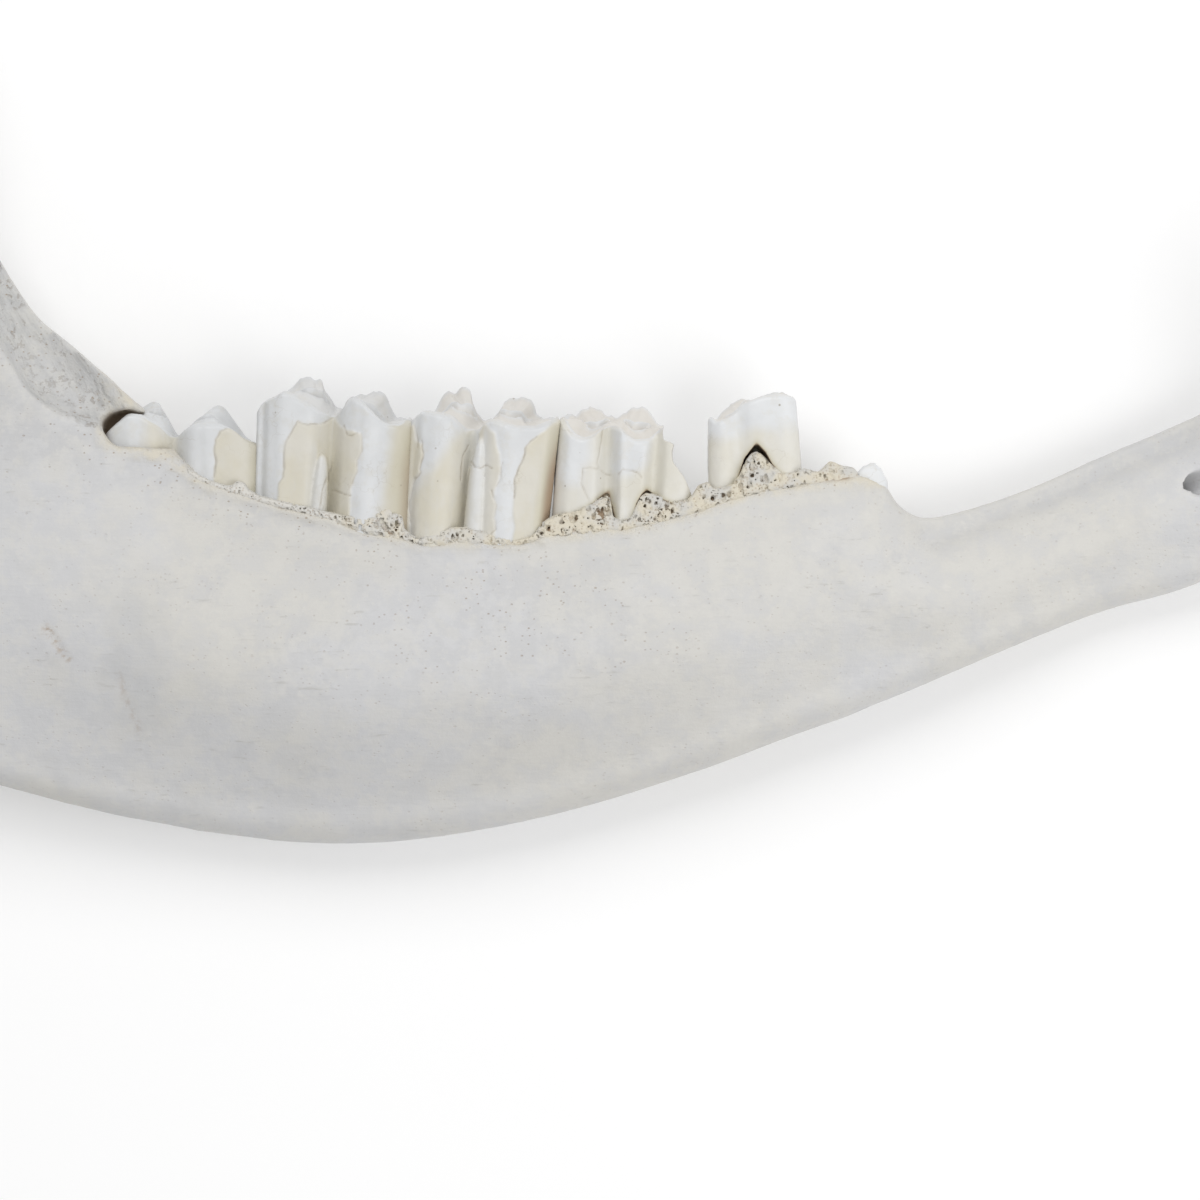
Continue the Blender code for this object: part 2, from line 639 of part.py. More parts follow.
def build_jawbone(jaw):
    """The bone in one piece: lofts joined, hollows cut, fused and smoothed, then sockets cut."""
    additions = side_collection("additions")
    bone = bone_plate(jaw)
    bone.name = "jawbone"
    notch = side_collection("notch")
    notch_cutter(notch)
    combine(bone, notch, "DIFFERENCE")
    condylar_process(additions)
    coronoid_process(additions)
    for index, (centre, half) in enumerate(SEPTA):
        septum(index, centre, half, additions)
    combine(bone, additions, "UNION")
    hollows = side_collection("hollows")
    tube("trough", TROUGH, hollows)
    tube("mental_foramen", MENTAL_FORAMEN, hollows)
    tube("mandibular_foramen", MANDIBULAR_FORAMEN, hollows)
    tube("crypt", CRYPT, hollows)
    tube("empty_socket", EMPTY_SOCKET, hollows)
    tube("front_empty_socket", FRONT_EMPTY_SOCKET, hollows)
    combine(bone, hollows, "DIFFERENCE")
    apply_modifier(bone, "REMESH", mode="VOXEL", voxel_size=BONE_VOXEL * MM)
    apply_modifier(bone, "SMOOTH", factor=0.5, iterations=BONE_SMOOTHING)
    triangles = 2 * len(bone.data.polygons)
    apply_modifier(bone, "DECIMATE", ratio=BONE_TRIANGLES / triangles)
    return bone


def build_tooth(name, spec, collection):
    tooth = tooth_mesh(name, spec, collection)
    if "arches" in spec:
        arches = side_collection("arches")
        for index, outline in enumerate(spec["arches"]):
            arch_cutter(f"arch_{index}", outline, spec["z"], arches)
        combine(tooth, arches, "DIFFERENCE")
    if "pillar" in spec:
        pillar(f"{name}_pillar", spec["pillar"], collection)


def set_teeth(bone):
    """Grows the teeth out of the bone: each root is sunk well into it."""
    teeth = side_collection("teeth")
    for name, spec in CHEEK_TEETH.items():
        build_tooth(name, spec, teeth)
    for name, spec in FRONT_TEETH.items():
        front_tooth(name, spec, teeth)
    combine(bone, teeth, "UNION")
    keep_largest(bone)


def material(name, colour, roughness):
    made = bpy.data.materials.new(name)
    made.use_nodes = True
    shader = made.node_tree.nodes["Principled BSDF"]
    shader.inputs["Base Color"].default_value = (*colour, 1)
    shader.inputs["Roughness"].default_value = roughness
    shader.inputs["Metallic"].default_value = 0
    return made


REST_ROLL = 1.37
REST_PITCH = 0.34


def lay_down(bone):
    """Turns the jaw as it rests on its inner side and sets the middle of its underside on the origin."""
    roll = Matrix.Rotation(math.radians(REST_ROLL), 4, "X")
    turn = roll @ Matrix.Rotation(math.radians(REST_PITCH), 4, "Y")
    bone.data.transform(turn)
    corners = np.array([v.co for v in bone.data.vertices])
    low, high = corners.min(axis=0), corners.max(axis=0)
    bone.location = (-(low[0] + high[0]) / 2, -(low[1] + high[1]) / 2, -low[2])
    bone.data.shade_smooth()
    bone.data.set_sharp_from_angle(angle=math.radians(40))


def main():
    for old in list(bpy.data.objects):
        bpy.data.objects.remove(old)
    jaw = side_collection("bison_jawbone")
    bone = build_jawbone(jaw)
    set_teeth(bone)
    bone.data.materials.append(material("bleached_bone", (0.64, 0.62, 0.56), 0.6))
    lay_down(bone)


main()
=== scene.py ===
"""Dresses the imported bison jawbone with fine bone, spongy bone and teeth, and sets up the picture.

Sizes are in millimetres in the jaw's own view frame: X runs forward along the jaw, Y towards the
crowns of the teeth, and Z out of the cheek side. finish_piece() turns a finished piece into the
part's own frame, where the jaw lies on its inner side.
"""

import functools
import itertools
import json
import math

import bmesh
import bpy
import numpy as np
from bpy.props import FloatProperty, FloatVectorProperty, PointerProperty
from mathutils import Matrix, Vector
from mathutils.bvhtree import BVHTree

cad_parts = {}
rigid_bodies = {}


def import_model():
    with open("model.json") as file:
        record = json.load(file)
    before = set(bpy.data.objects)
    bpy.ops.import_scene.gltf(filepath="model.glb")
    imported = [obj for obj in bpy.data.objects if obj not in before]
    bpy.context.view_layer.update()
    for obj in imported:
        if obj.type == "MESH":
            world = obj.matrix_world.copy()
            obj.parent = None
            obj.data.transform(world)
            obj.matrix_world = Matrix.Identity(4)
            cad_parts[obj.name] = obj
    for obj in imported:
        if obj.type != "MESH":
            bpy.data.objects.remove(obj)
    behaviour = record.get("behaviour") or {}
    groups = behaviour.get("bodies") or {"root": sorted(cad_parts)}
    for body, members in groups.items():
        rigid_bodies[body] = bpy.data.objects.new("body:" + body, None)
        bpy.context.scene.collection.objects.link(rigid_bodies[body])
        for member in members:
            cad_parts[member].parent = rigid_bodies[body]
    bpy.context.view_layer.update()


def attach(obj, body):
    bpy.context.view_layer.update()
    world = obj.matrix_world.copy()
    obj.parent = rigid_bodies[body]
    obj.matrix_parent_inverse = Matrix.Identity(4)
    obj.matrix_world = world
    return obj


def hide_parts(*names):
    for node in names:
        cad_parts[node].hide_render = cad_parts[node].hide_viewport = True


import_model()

bl_info = {
    "name": "Bison Jawbone",
    "version": (1, 0, 0),
    "blender": (4, 5, 0),
    "location": "View3D > Sidebar > Jawbone",
    "description": "Builds the look of a young bison's half jaw, with its teeth and spongy bone",
    "category": "Object",
}

MM = 0.001
BODY = "root"
NODE = "jawbone"
# How the jaw is turned and moved from its view frame to the way it lies on its inner side.
REST_ROLL = 1.37
REST_PITCH = 0.34
REST_SHIFT = (17.05, -60.9, -1.2)

# One row for each station along the bone, from the incisor end back and up to the top of the ramus.
# Each gives the lower or rear border (x, y), the upper or front border (x, y), then the thickness
# and the middle of that thickness in Z at the lower border, the middle and the upper border.
STATIONS = (
    ((165, 51), (160, 61), (11, 12, 11), (17, 17, 17)),
    ((160.5, 42), (154, 58.5), (16, 19, 18), (18, 19, 19)),
    ((150, 26), (146, 52.5), (19, 25, 24), (19, 21, 21)),
    ((136, 12.5), (135, 44.5), (16, 22, 14), (14, 16, 17)),
    ((120, 3.4), (120, 37.4), (13, 18, 6), (10, 11, 12)),
    ((100, -2.6), (102, 29.4), (13, 17, 5), (9, 10, 10)),
    ((80, -10.6), (83, 21.6), (14, 18, 5), (11, 12, 12)),
    ((62, -18.2), (66.6, 16.9), (15, 20, 7), (12, 14, 15)),
    ((56, -20.6), (59.8, 19.4), (15, 21, 11), (12, 14, 17)),
    ((50, -23), (55.5, 26), (15, 22, 13), (12, 15, 17.5)),
    ((38, -27.2), (42, 24.6), (15, 24, 15), (12.5, 15.5, 18)),
    ((20, -33.8), (22, 19.4), (15, 26, 17), (12.5, 16, 18)),
    ((-2, -41), (0, 14.2), (15, 28, 18), (12, 16.5, 18)),
    ((-26, -46.3), (-22, 11.6), (15, 29, 20), (12, 16.5, 17.5)),
    ((-50, -48.7), (-45, 14.3), (15, 30, 20), (11.5, 16.5, 17.5)),
    ((-76, -46.8), (-68, 20.8), (14, 30, 20), (12, 17, 17)),
    ((-104, -41.2), (-86, 31), (13, 26, 19), (14, 18, 17.5)),
    ((-132, -33.6), (-96, 42.6), (12, 18, 18), (17, 20.5, 19)),
    ((-162, -28), (-104.5, 50.4), (13, 12, 17), (19, 22.5, 20.5)),
    ((-190, -14), (-112, 57), (14, 9, 14), (20, 23, 22)),
    ((-205, 14), (-119, 68), (14, 8, 12), (21, 23, 23)),
    ((-203, 45), (-125, 80), (13, 8, 11), (22, 23, 24)),
    ((-198.5, 74), (-130, 92), (12, 8, 10), (22, 23, 24)),
    ((-196.5, 97), (-133.5, 106), (12, 8, 9), (22, 23, 24)),
    ((-196, 112), (-135, 118), (12, 8, 8), (21, 22, 24.5)),
)
RINGS_PER_STATION = 8
ARC_STEPS = 7
FLANK_STEPS = 16
UPPER_SQUARENESS = 3.5
SMOOTHING_LOSS = 0.5
SKIN_SMOOTHING = 10

# Condylar process: height, centre x, centre z, half length in x and half width in z.
CONDYLE_RINGS = (
    (84, -190, 22, 7, 5.5),
    (98, -189.5, 21, 8.5, 7.5),
    (108, -190, 19, 9.5, 13),
    (114, -191, 18, 11.5, 18.5),
    (119, -192, 17.5, 12, 20.5),
    (123, -192.5, 17.5, 9, 18),
    (124.6, -192.5, 17.5, 3.5, 11),
)
# Coronoid process: centre x, centre y, centre z, half width along the blade and half thickness.
CORONOID_RINGS = (
    (-150, 88, 23.5, 17, 4),
    (-148, 106, 24.3, 16.4, 4.3),
    (-148.5, 122, 25.5, 15, 4.2),
    (-151.5, 138, 27, 12.8, 3.8),
    (-157.5, 152, 28.5, 10, 3.3),
    (-165.5, 163.5, 29.5, 7, 2.7),
    (-173, 170.5, 30, 3.4, 1.8),
)
# The notch between them: its centre, its half sizes, and the lean of its long axis in degrees.
NOTCH = ((-172.5, 118, 22), (11.8, 24, 30), -4)

# Hollows. Each is a tube along its points (x, y, z), with the radius at each point.
TROUGH = (
    ((-92.5, 40.5, 31.6), 5.6),
    ((-98.5, 40.5, 29.8), 6.4),
    ((-107, 45.5, 28.5), 7),
    ((-113, 54.5, 29), 6.8),
    ((-119, 65, 30), 6.3),
    ((-125.5, 79, 31), 5.6),
    ((-131, 96, 32), 4),
)
HOLLOWS = {
    "trough": TROUGH,
    "mental_foramen": (
        ((127.3, 24.5, 27), 2.6),
        ((122.3, 23.8, 20.5), 2.5),
        ((117, 22.6, 15.5), 2.2),
        ((109.5, 20, 12), 1.8),
    ),
    "mandibular_foramen": (
        ((-161, 71, 13), 4.8),
        ((-155.5, 65, 18.5), 4.3),
        ((-149.5, 58, 22), 3.2),
        ((-143, 51, 23.5), 2.2),
    ),
    "empty_socket": (
        ((43.6, 33, 18), 3.2),
        ((44.2, 25, 18), 2.4),
        ((44.6, 19, 18), 1.4),
    ),
    "front_empty_socket": (
        ((50.2, 33, 18), 2.6),
        ((49.8, 26, 18), 2.1),
        ((49.4, 21, 18), 1.2),
    ),
}
# The opening that the last molar rises from, as an outline, and how deep it goes in Z.
CRYPT = (
    (-96.6, 30.4), (-97.6, 31.6), (-98.1, 32.3), (-98.7, 33.3), (-98.8, 34.3), (-99.1, 35),
    (-98.6, 35.9), (-97.9, 36.5), (-97.5, 37.3), (-96.4, 37.4), (-95.2, 37.9), (-94.2, 37.9),
    (-93, 37.7), (-92, 37.1), (-90.6, 36.5), (-86, 36), (-86, 30),
)
CRYPT_DEPTH = (18.5, 34)
# The end of the crest that runs down beside the trough to the last molar, as a tube.
CREST_END = (
    ((-104, 42.9, 20), 4),
    ((-98, 39.8, 20), 3.2),
    ((-93.5, 37.3, 20), 2.6),
    ((-90.5, 36.2, 19.5), 1.8),
)
# Bone taken away round the tip of the tooth that is coming through in front.
FRONT_OPENING = (
    (50.8, 25.6), (54, 24.7), (56, 23.7), (57.6, 22.6), (60.4, 20.8), (62, 26), (60, 30), (50.8, 30),
)
FRONT_OPENING_DEPTH = (4, 34)

# The top of the bone along the cheek side of the tooth row, as (x, y) from back to front.
RIM = (
    (-100, 31.8), (-97, 31.4), (-93, 30.2), (-91.4, 29.6), (-90.2, 29.7), (-89.6, 30.3), (-87.6, 30.3),
    (-86.2, 29.6), (-85.4, 28.2), (-84.4, 27.7), (-83.4, 27.4), (-79.4, 24.6), (-75.8, 22.9),
    (-72.8, 22.7), (-72.2, 23.7), (-70.4, 23.3), (-69.8, 21.9), (-67.2, 20.6), (-63, 19.6), (-58, 18.6),
    (-55.6, 17.8), (-51, 17), (-47.6, 16.3), (-45, 16.6), (-43.4, 18), (-42, 18.4), (-40.4, 17.2),
    (-39.3, 17), (-38.8, 14.2), (-36.6, 12.6), (-35.2, 12.5), (-32, 14), (-28.6, 14.6), (-25, 14.2),
    (-22, 13.3), (-18, 12.1), (-15.4, 12.1), (-13, 13), (-11.8, 15.2), (-9.2, 16.9), (-5, 17.7),
    (-2.6, 18.9), (-0.6, 20), (1.2, 20.8), (2, 20.4), (2.8, 16.2), (6.3, 16.2), (7, 18.4),
    (8, 20.7), (9.2, 21.3), (11.4, 21), (13.4, 20), (16.2, 19.7), (18, 20.3), (18.8, 21.6),
    (19.6, 22.8), (21.6, 23.6), (22.4, 22.2), (25.6, 22.7), (27.5, 24.4), (28.7, 27.4), (30.2, 29.3),
    (31.2, 29.6), (32.4, 28.8), (33.6, 27.5), (35.6, 25.9), (37.8, 25.2), (39.4, 25.8), (40.4, 26.3),
    (43.4, 25.4), (44.8, 26.8), (45.9, 27.8), (46.8, 27.3), (48.2, 26.6), (50.2, 26.5), (51.6, 25.3),
    (54, 24.6), (56.4, 24),
)
# How far out the bone stands there in Z, and how it leans in above its smooth part.
RIM_FACE = ((-100, 26.4), (-68, 26.9), (-22, 27), (0, 26.2), (22, 25.3), (42, 24.2), (56, 22.6))
RIM_LEAN = 0.24
RIM_STEP = 0.4
RIM_MIDDLE = 17.8
# How much lower and further in the solid core under the spongy rim is, then the side of the rim's
# quads and the height of its waves.
CORE_DROP = 1.3
RIM_VOXEL = 0.45
RIM_WAVES = 0.18

# Where the tooth row ends at the back and front, how low it reaches, and how far from a tooth the
# gap round it can be.
TOOTH_ROW = (-105, 62)
TOOTH_ROW_FLOOR = 5
GAP_REACH = 4.0

# The line on the cheek side above which the bone is open and spongy, as (x, y) from back to front.
CORTEX_EDGE = (
    (-100, 31.5), (-84.4, 26.8), (-78, 23.2), (-67, 19.6), (-58, 17.4), (-50, 15), (-45, 13.2),
    (-39, 11.9), (-36, 11.2), (-22.8, 11.4), (-16.4, 11.2), (-13.2, 12), (-1.8, 13.4), (7.8, 14.7),
    (15, 16.3), (20.6, 18.1), (29.4, 21), (34.8, 22), (41.6, 23.1), (51.6, 23.6), (58, 24),
)
# The rim's pieces: where each starts and ends in x, the size of its cells as a share of the usual
# one, and how wide they are as a share of their spacing.
RIM_STRETCHES = (
    (-81.6, -69, 0.62, 0.33), (-69, -52, 0.7, 0.35), (-52, -36, 0.95, 0.45),
    (-36, -13.2, 0.75, 0.38), (-13.2, 4.6, 1.05, 0.44), (4.6, 21, 0.85, 0.39),
    (21, 35.4, 1.1, 0.41), (35.4, 51, 0.85, 0.34),
)
# How low and how high in Z they reach, and the fewest points that a loose bit of them may have.
SPONGY_REACH = (13, 28.4)
CRUMB_POINTS = 400
# Their cells: large upright ones, then small round ones in the struts between. Each has its stretch,
# its size as a share of the usual one, and how much narrower it is.
CELL_LAYERS = (((1, 0.66, 1), 1.0, 0.0), ((1, 1, 1), 0.55, 0.12))
# Between which heights in Z they fade in, and the density that stands for the surface.
THINNING = (13, 17)
FULL = 10.0
# How far round its points a larger hole opens, how far apart they are, and how deep they go.
PORE_ROUNDING = 0.18
PORE_STEP = 0.12
PORE_DEPTHS = (-0.4, 0.1, 0.6, 1.1, 1.6)
# Larger holes in it: x, y, then the half width and half height.
LARGE_PORES = (
    (-49, 13.9, 0.36, 0.26), (-47.2, 13.7, 0.28, 0.26), (-45.6, 14.1, 0.6, 0.4),
    (-44.6, 16.4, 0.5, 0.34), (-40.4, 15.2, 0.4, 0.7), (-43, 16, 0.3, 0.45),
    (-11.6, 13.2, 0.5, 0.32), (-9.9, 13.6, 0.34, 0.3), (-6.2, 14.5, 0.34, 0.55),
    (-7.8, 14.1, 0.24, 0.4), (-4.5, 14.7, 0.34, 0.42), (-2, 15, 0.4, 0.75),
    (-1.2, 13.7, 0.34, 0.26), (0.5, 16.2, 0.5, 0.42), (-0.4, 15.4, 0.6, 0.7),
    (9.9, 17.4, 0.36, 0.3), (10.2, 16, 0.85, 0.55), (9.1, 15.5, 0.4, 0.3), (12.9, 16.6, 0.3, 0.5),
    (19.8, 18.9, 0.5, 0.4), (30.8, 27.6, 0.42, 0.46), (29.8, 25.9, 0.4, 0.26),
    (31.2, 25.2, 0.46, 0.34), (32.9, 25.7, 0.34, 0.34), (29.7, 24.8, 0.46, 0.3),
    (30.8, 23.9, 0.34, 0.26), (32.2, 23.6, 0.3, 0.5), (29.4, 22.4, 0.5, 0.4), (41.2, 24.9, 0.34, 0.6),
    (43.6, 24.4, 0.24, 0.2), (44.6, 24.5, 0.2, 0.2), (46, 26.2, 0.5, 0.34), (48.6, 25.9, 0.4, 0.3),
)

# Fine pores of three sizes: cells a metre, dot size, then the spacing and share of their groups.
BONE_PORES = ((1250, 0.24, 110, 0.44), (700, 0.17, 80, 0.47), (260, 0.075, 50, 0.5))
# The way that the trough's grain runs, and how light the bone and teeth are at their ends and the bone at
# its lower border: painted light and shade, partly the bone's own weathering.
TROUGH_TURN = math.radians(122)
FRONT_SHADE = 1.06
BACK_SHADE = 1.015
BACK_TOOTH_SHADE = 0.945
LOWER_SHADE = 0.965

# A shallow groove below the thin upper edge of the toothless stretch, which also gets painted shade.
SIDE_GROOVE = ((66, 12.8), (77, 17), (87, 20.8), (96.5, 24.4), (106, 28.4), (116, 32.4), (121, 35))
# Marks on the cheek side: a nick, the edge of a rough patch, then the rough patch and a darker patch
# of painted shade over the middle, each as the middle and half sizes of an oval.
NICK = ((-109.6, -5.6), (-107.4, -8.2), (-105.2, -12))
PATCH_EDGE = ((-95.2, -14.8), (-94, -19.6), (-92.6, -23.2), (-91.2, -26.6))
ROUGH_PATCH = ((-92, -12), (8, 18))
PAINTED_SHADE_PATCH = ((-18, -4), (34, 17))

# Cheek teeth. Top and foot give the x of a tooth's back and front, and the foot also how low it
# starts in its socket. Width is its thickness at the top and the foot, and z the middle of that. The
# rims are (x, y) knots along the crown's edge on each side. Valleys part the lobes and a rib is a low
# upright fold, each given by its x at the top and the foot, its depth or height, and its reach. A
# pillar stands in a valley. An arch is the opening between two bared roots and a break is what has
# gone from the crown, as outlines. Each pit is the hollow in the middle of a lobe: its x, half length
# and depth. Cement is where the cream layer over the white enamel still stands, cream is the same
# with a soft edge, enamel is where only the white shows, and the cracks run along (x, y) points on
# the cheek side. The stain darkens the front end, as stain and as painted shade in the gap beside the
# next tooth: how much, and how far back. Wear is how much of the dentine shows on the chewing surface.
CHEEK_TEETH = {
    "molar_3": {
        "top": (-99, -67.9),
        "foot": (-97.5, -68.4, 19),
        "width": (12, 14),
        "z": 17.5,
        "cheek_rim": (
            (-99, 33.6), (-96.4, 35.6), (-93.8, 37.2), (-91.7, 37), (-89.8, 35.9), (-87.9, 34.9),
            (-85.2, 32.6), (-82, 34.4), (-79.4, 35.2), (-76, 35.3), (-72.6, 34), (-70.4, 32.3),
            (-67.9, 31.2),
        ),
        "tongue_rim": (
            (-99, 34), (-96.4, 36), (-93.6, 37.8), (-91.4, 39.2), (-89.8, 39.9), (-88.7, 39.7),
            (-87.9, 38.4), (-86.5, 36.1), (-84.6, 33), (-82, 34.8), (-80.6, 36.1), (-78.2, 38),
            (-76.8, 39), (-75.9, 39.1), (-74.7, 38.4), (-73.7, 37), (-71.9, 34.7), (-70, 32.6),
            (-67.9, 31.6),
        ),
        "valleys": ((-85, -84.6, 0.62, 2.4),),
        "ribs": ((-77.8, -77.8, 0.35, 1.2), (-93.4, -93.4, 0.3, 1.4)),
        "pits": ((-91.4, 3.8, 2.6), (-76.6, 5.4, 3)),
        "cement": (
            ((-75.2, 33.3), (-73.6, 34.2), (-67, 32), (-67, 18), (-77, 18), (-76.6, 24.8), (-76.2, 27.1),
             (-76.5, 29.5), (-76.3, 31.8)),
        ),
        "cream": (((-90.2, 36), (-87.6, 35), (-85, 32), (-85, 24), (-91, 26), (-90.4, 31)),),
        "cracks": (
            ((-74.2, 33.9), (-75.2, 33.3), (-76.3, 31.8), (-76.5, 29.5), (-76.2, 27.1), (-76.6, 24.6)),
        ),
        "stain_and_shade": (0.5, 4),
        "wear": 0,
    },
    "molar_2": {
        "top": (-68.1, -37),
        "foot": (-69, -38.4, 9),
        "width": (13.2, 16.6),
        "z": 17.5,
        "cheek_rim": (
            (-68.1, 38.2), (-67, 39.8), (-65, 40.5), (-62.8, 41.6), (-60.6, 40.6), (-57.9, 39.2),
            (-54.8, 37.4), (-52.6, 36.8), (-50.6, 38.6), (-49, 40.3), (-47, 39.6), (-44.4, 37.2),
            (-41.8, 35.2), (-39.6, 34.9), (-37, 35.9),
        ),
        "tongue_rim": (
            (-68.1, 38.6), (-65.4, 40.4), (-62.8, 42), (-61.5, 43.4), (-60.2, 44.5), (-59.4, 44.9),
            (-58.1, 44.6), (-57, 44.3), (-56.1, 44.5), (-55.2, 42.5), (-53.5, 40.1), (-52.2, 38.6),
            (-50.9, 38.5), (-49.4, 40.4), (-48.3, 41.3), (-46.4, 41.4), (-44.4, 42), (-42.5, 41.4),
            (-41.4, 38.8), (-39.4, 36.6), (-37, 36.5),
        ),
        "valleys": ((-52.8, -54.6, 0.6, 2.7), (-66.7, -67.6, 0.16, 0.7)),
        "ribs": ((-62.6, -64.2, 0.5, 1.7), (-45.4, -47.6, 0.55, 1.6), (-50.4, -52.4, 0.3, 0.8)),
        "pillar": {"foot": (-56.9, 10), "tip": (-55.2, 29), "z": (23, 22.6), "half": (1.9, 2.5)},
        "pits": ((-59.8, 5.6, 2.2), (-45.4, 5.2, 2)),
        "cement": (
            ((-53.1, 36.5), (-54.8, 35.2), (-57.9, 34.7), (-60.2, 35.5), (-61.8, 32.6), (-62.6, 30.4),
             (-62.7, 24.3), (-63.7, 23), (-64.2, 14), (-53, 14)),
            ((-52.9, 36.2), (-50.6, 34), (-47.4, 33), (-47.3, 29.7), (-48.3, 27.6), (-48.1, 25.4),
             (-49.4, 22.1), (-50, 13), (-55, 13)),
        ),
        "cream": (((-41, 34.6), (-36, 36), (-36, 12), (-46, 12), (-43.6, 18), (-42.2, 25)),),
        "cracks": (
            ((-53.3, 36.4), (-54.8, 35.2), (-57.9, 34.7), (-60.2, 35.5)),
            ((-60.2, 35.5), (-61.8, 32.6), (-62.6, 30.4), (-62.7, 24.3), (-63.7, 23)),
            ((-47.4, 33), (-47.3, 29.7), (-48.3, 27.6), (-48.1, 25.4), (-49.2, 23)),
            ((-50.9, 34.6), (-50.2, 32.9), (-49.4, 32.6), (-48.2, 33.2)),
            ((-53.4, 21.6), (-51.4, 21.4), (-49.6, 20.6)),
            ((-53.4, 27.4), (-54.4, 23.6), (-55.2, 20.4), (-55.8, 17.8)),
        ),
        "stain_and_shade": (0.72, 6.8),
        "wear": 0.25,
    },
    "molar_1": {
        "top": (-37.2, -7.2),
        "foot": (-39.2, -11.4, 6),
        "width": (13.4, 16.4),
        "z": 17.8,
        "cheek_rim": (
            (-37.2, 36.2), (-35, 37.7), (-32.6, 37.4), (-29.4, 36.6), (-27.6, 35.2), (-25.6, 34),
            (-23.4, 34.2), (-21.6, 35.6), (-20.5, 36), (-17.3, 35.1), (-15.1, 34.6), (-12, 34.6),
            (-9.7, 35.3), (-7.2, 36.4),
        ),
        "tongue_rim": (
            (-37.2, 36.6), (-34.8, 37.9), (-33.4, 38), (-32.4, 39.5), (-31.7, 41.4), (-31, 42),
            (-29.4, 41.5), (-28.1, 42.7), (-27.2, 42.9), (-26, 41.9), (-25.4, 39.8), (-23.8, 36.9),
            (-22.5, 36.1), (-20.9, 36.4), (-19.1, 38.6), (-18.6, 40.2), (-17.3, 40.6), (-14.4, 40.8),
            (-12.9, 40), (-11.8, 37.7), (-10.2, 36.5), (-7.2, 36.8),
        ),
        "valleys": ((-24.9, -27, 0.6, 2.6), (-36, -38.2, 0.12, 0.8)),
        "ribs": ((-31.4, -34.2, 0.5, 2), (-17.6, -20, 0.5, 1.8), (-9.6, -13.4, 0.4, 1.4)),
        "pillar": {"foot": (-25.6, 6), "tip": (-23.5, 32.4), "z": (23.2, 22.4), "half": (2.2, 2.7)},
        "pits": ((-29, 4.6, 1.3), (-15.4, 5, 1.2)),
        "cement": (
            ((-35.4, 30.8), (-35.2, 28.8), (-35.8, 25.8), (-35.5, 25.1), (-36.8, 24.2), (-37.5, 21.4),
             (-37.8, 19.2), (-37.7, 10), (-42, 10), (-39, 34.6), (-36.8, 34.8), (-36.6, 31.6)),
            ((-26.2, 26.8), (-24.6, 26), (-22.6, 27.2), (-22.8, 9), (-27.6, 9)),
            ((-13.5, 31.8), (-11, 33.6), (-7, 36.6), (-7, 9), (-17.2, 9), (-17.1, 20.3), (-16.9, 23.7),
             (-16.4, 25.9), (-15.3, 28.1), (-14.7, 30.4)),
            ((-22.8, 35), (-20.8, 33), (-19.7, 26), (-20.5, 22.6), (-21.1, 20.3), (-20.5, 18.5),
             (-20.9, 16.3), (-20.7, 9), (-24, 9), (-24, 33)),
        ),
        "cream": (
            ((-35.2, 24.2), (-33, 26), (-31.2, 28.6), (-29.8, 30.7), (-28.2, 33), (-26, 34), (-25.8, 9),
             (-37.4, 9), (-37.2, 20)),
        ),
        "cracks": (
            ((-36.8, 34.8), (-36.5, 32.6), (-36.4, 30.4)),
            ((-35.6, 31.6), (-35.2, 28.8), (-35.8, 25.8), (-35.5, 25.1), (-36.8, 24.2), (-37.5, 21.4),
             (-37.8, 19.2), (-37.7, 15.6)),
            ((-12.6, 32.4), (-13.5, 31.8), (-14.7, 30.4), (-15.3, 28.1), (-16.4, 25.9), (-16.9, 23.7),
             (-17.1, 20.3)),
            ((-19.4, 27.2), (-19.6, 25.9), (-19.8, 24.1), (-20.5, 22.6)),
            ((-21.4, 21.6), (-21.1, 20.3), (-20.5, 18.5), (-20.9, 16.3), (-20.7, 14), (-21.6, 13.2)),
            ((-25.6, 27.4), (-24.6, 26.4), (-23.6, 26.2)),
            ((-23.4, 26.4), (-22.6, 26.8), (-21.6, 26.2)),
            ((-26, 31), (-27.4, 28.6), (-27.8, 24)),
        ),
        "stain_and_shade": (1, 4),
        "wear": 0.7,
    },
    "milk_premolar_4": {
        "top": (-7.9, 18.7),
        "foot": (-10.3, 18.6, 10),
        "width": (11.6, 13.6),
        "z": 18,
        "cheek_rim": (
            (-7.9, 36.4), (-6.4, 34.6), (-4.8, 33), (-3, 32.4), (-1, 33), (0.8, 34.4), (2.4, 34.8),
            (4.2, 34.4), (5.6, 33), (7.6, 32), (10.2, 32.2), (11.6, 33.4), (13, 34.6), (18.7, 34),
        ),
        "tongue_rim": (
            (-7.9, 36.8), (-6.6, 37.3), (-5, 37.1), (-4, 38.2), (-2.6, 38.7), (-0.6, 38.4), (1, 37.2),
            (3.4, 36.7), (5, 37.6), (6.6, 38.6), (8.4, 38.8), (9.8, 38.4), (10.9, 36.8), (12.2, 35.4),
            (13, 35), (18.7, 34.4),
        ),
        "valleys": ((1.8, 1.2, 0.4, 1.7), (11.8, 9.8, 0.34, 1.4)),
        "ribs": ((4.6, 3.6, 0.5, 0.9), (-5.4, -7.2, 0.3, 1.4)),
        "arches": (
            ((1.6, 21.5), (-0.1, 19.9), (-2.2, 18.3), (-4.3, 17), (-7.3, 16.4), (-12, 15.4), (-12, 5),
             (3.4, 5), (2.9, 15.5), (1.9, 19.2)),
            ((9.4, 21.8), (8.4, 20.8), (7.4, 19), (6.9, 17.1), (6.2, 15), (6.2, 5), (20, 5), (18.6, 20.2),
             (17.6, 19.4), (16.6, 19), (14.6, 18.9), (12.3, 19.8), (10.3, 21)),
        ),
        "breaks": (
            ((12.9, 44), (12.9, 34.8), (12.5, 33.2), (12.7, 31.8), (14, 31.4), (14.8, 30.9), (14.4, 29.4),
             (14.6, 27.5), (16.8, 24.5), (18.3, 21), (19.4, 18), (26, 18), (26, 44)),
        ),
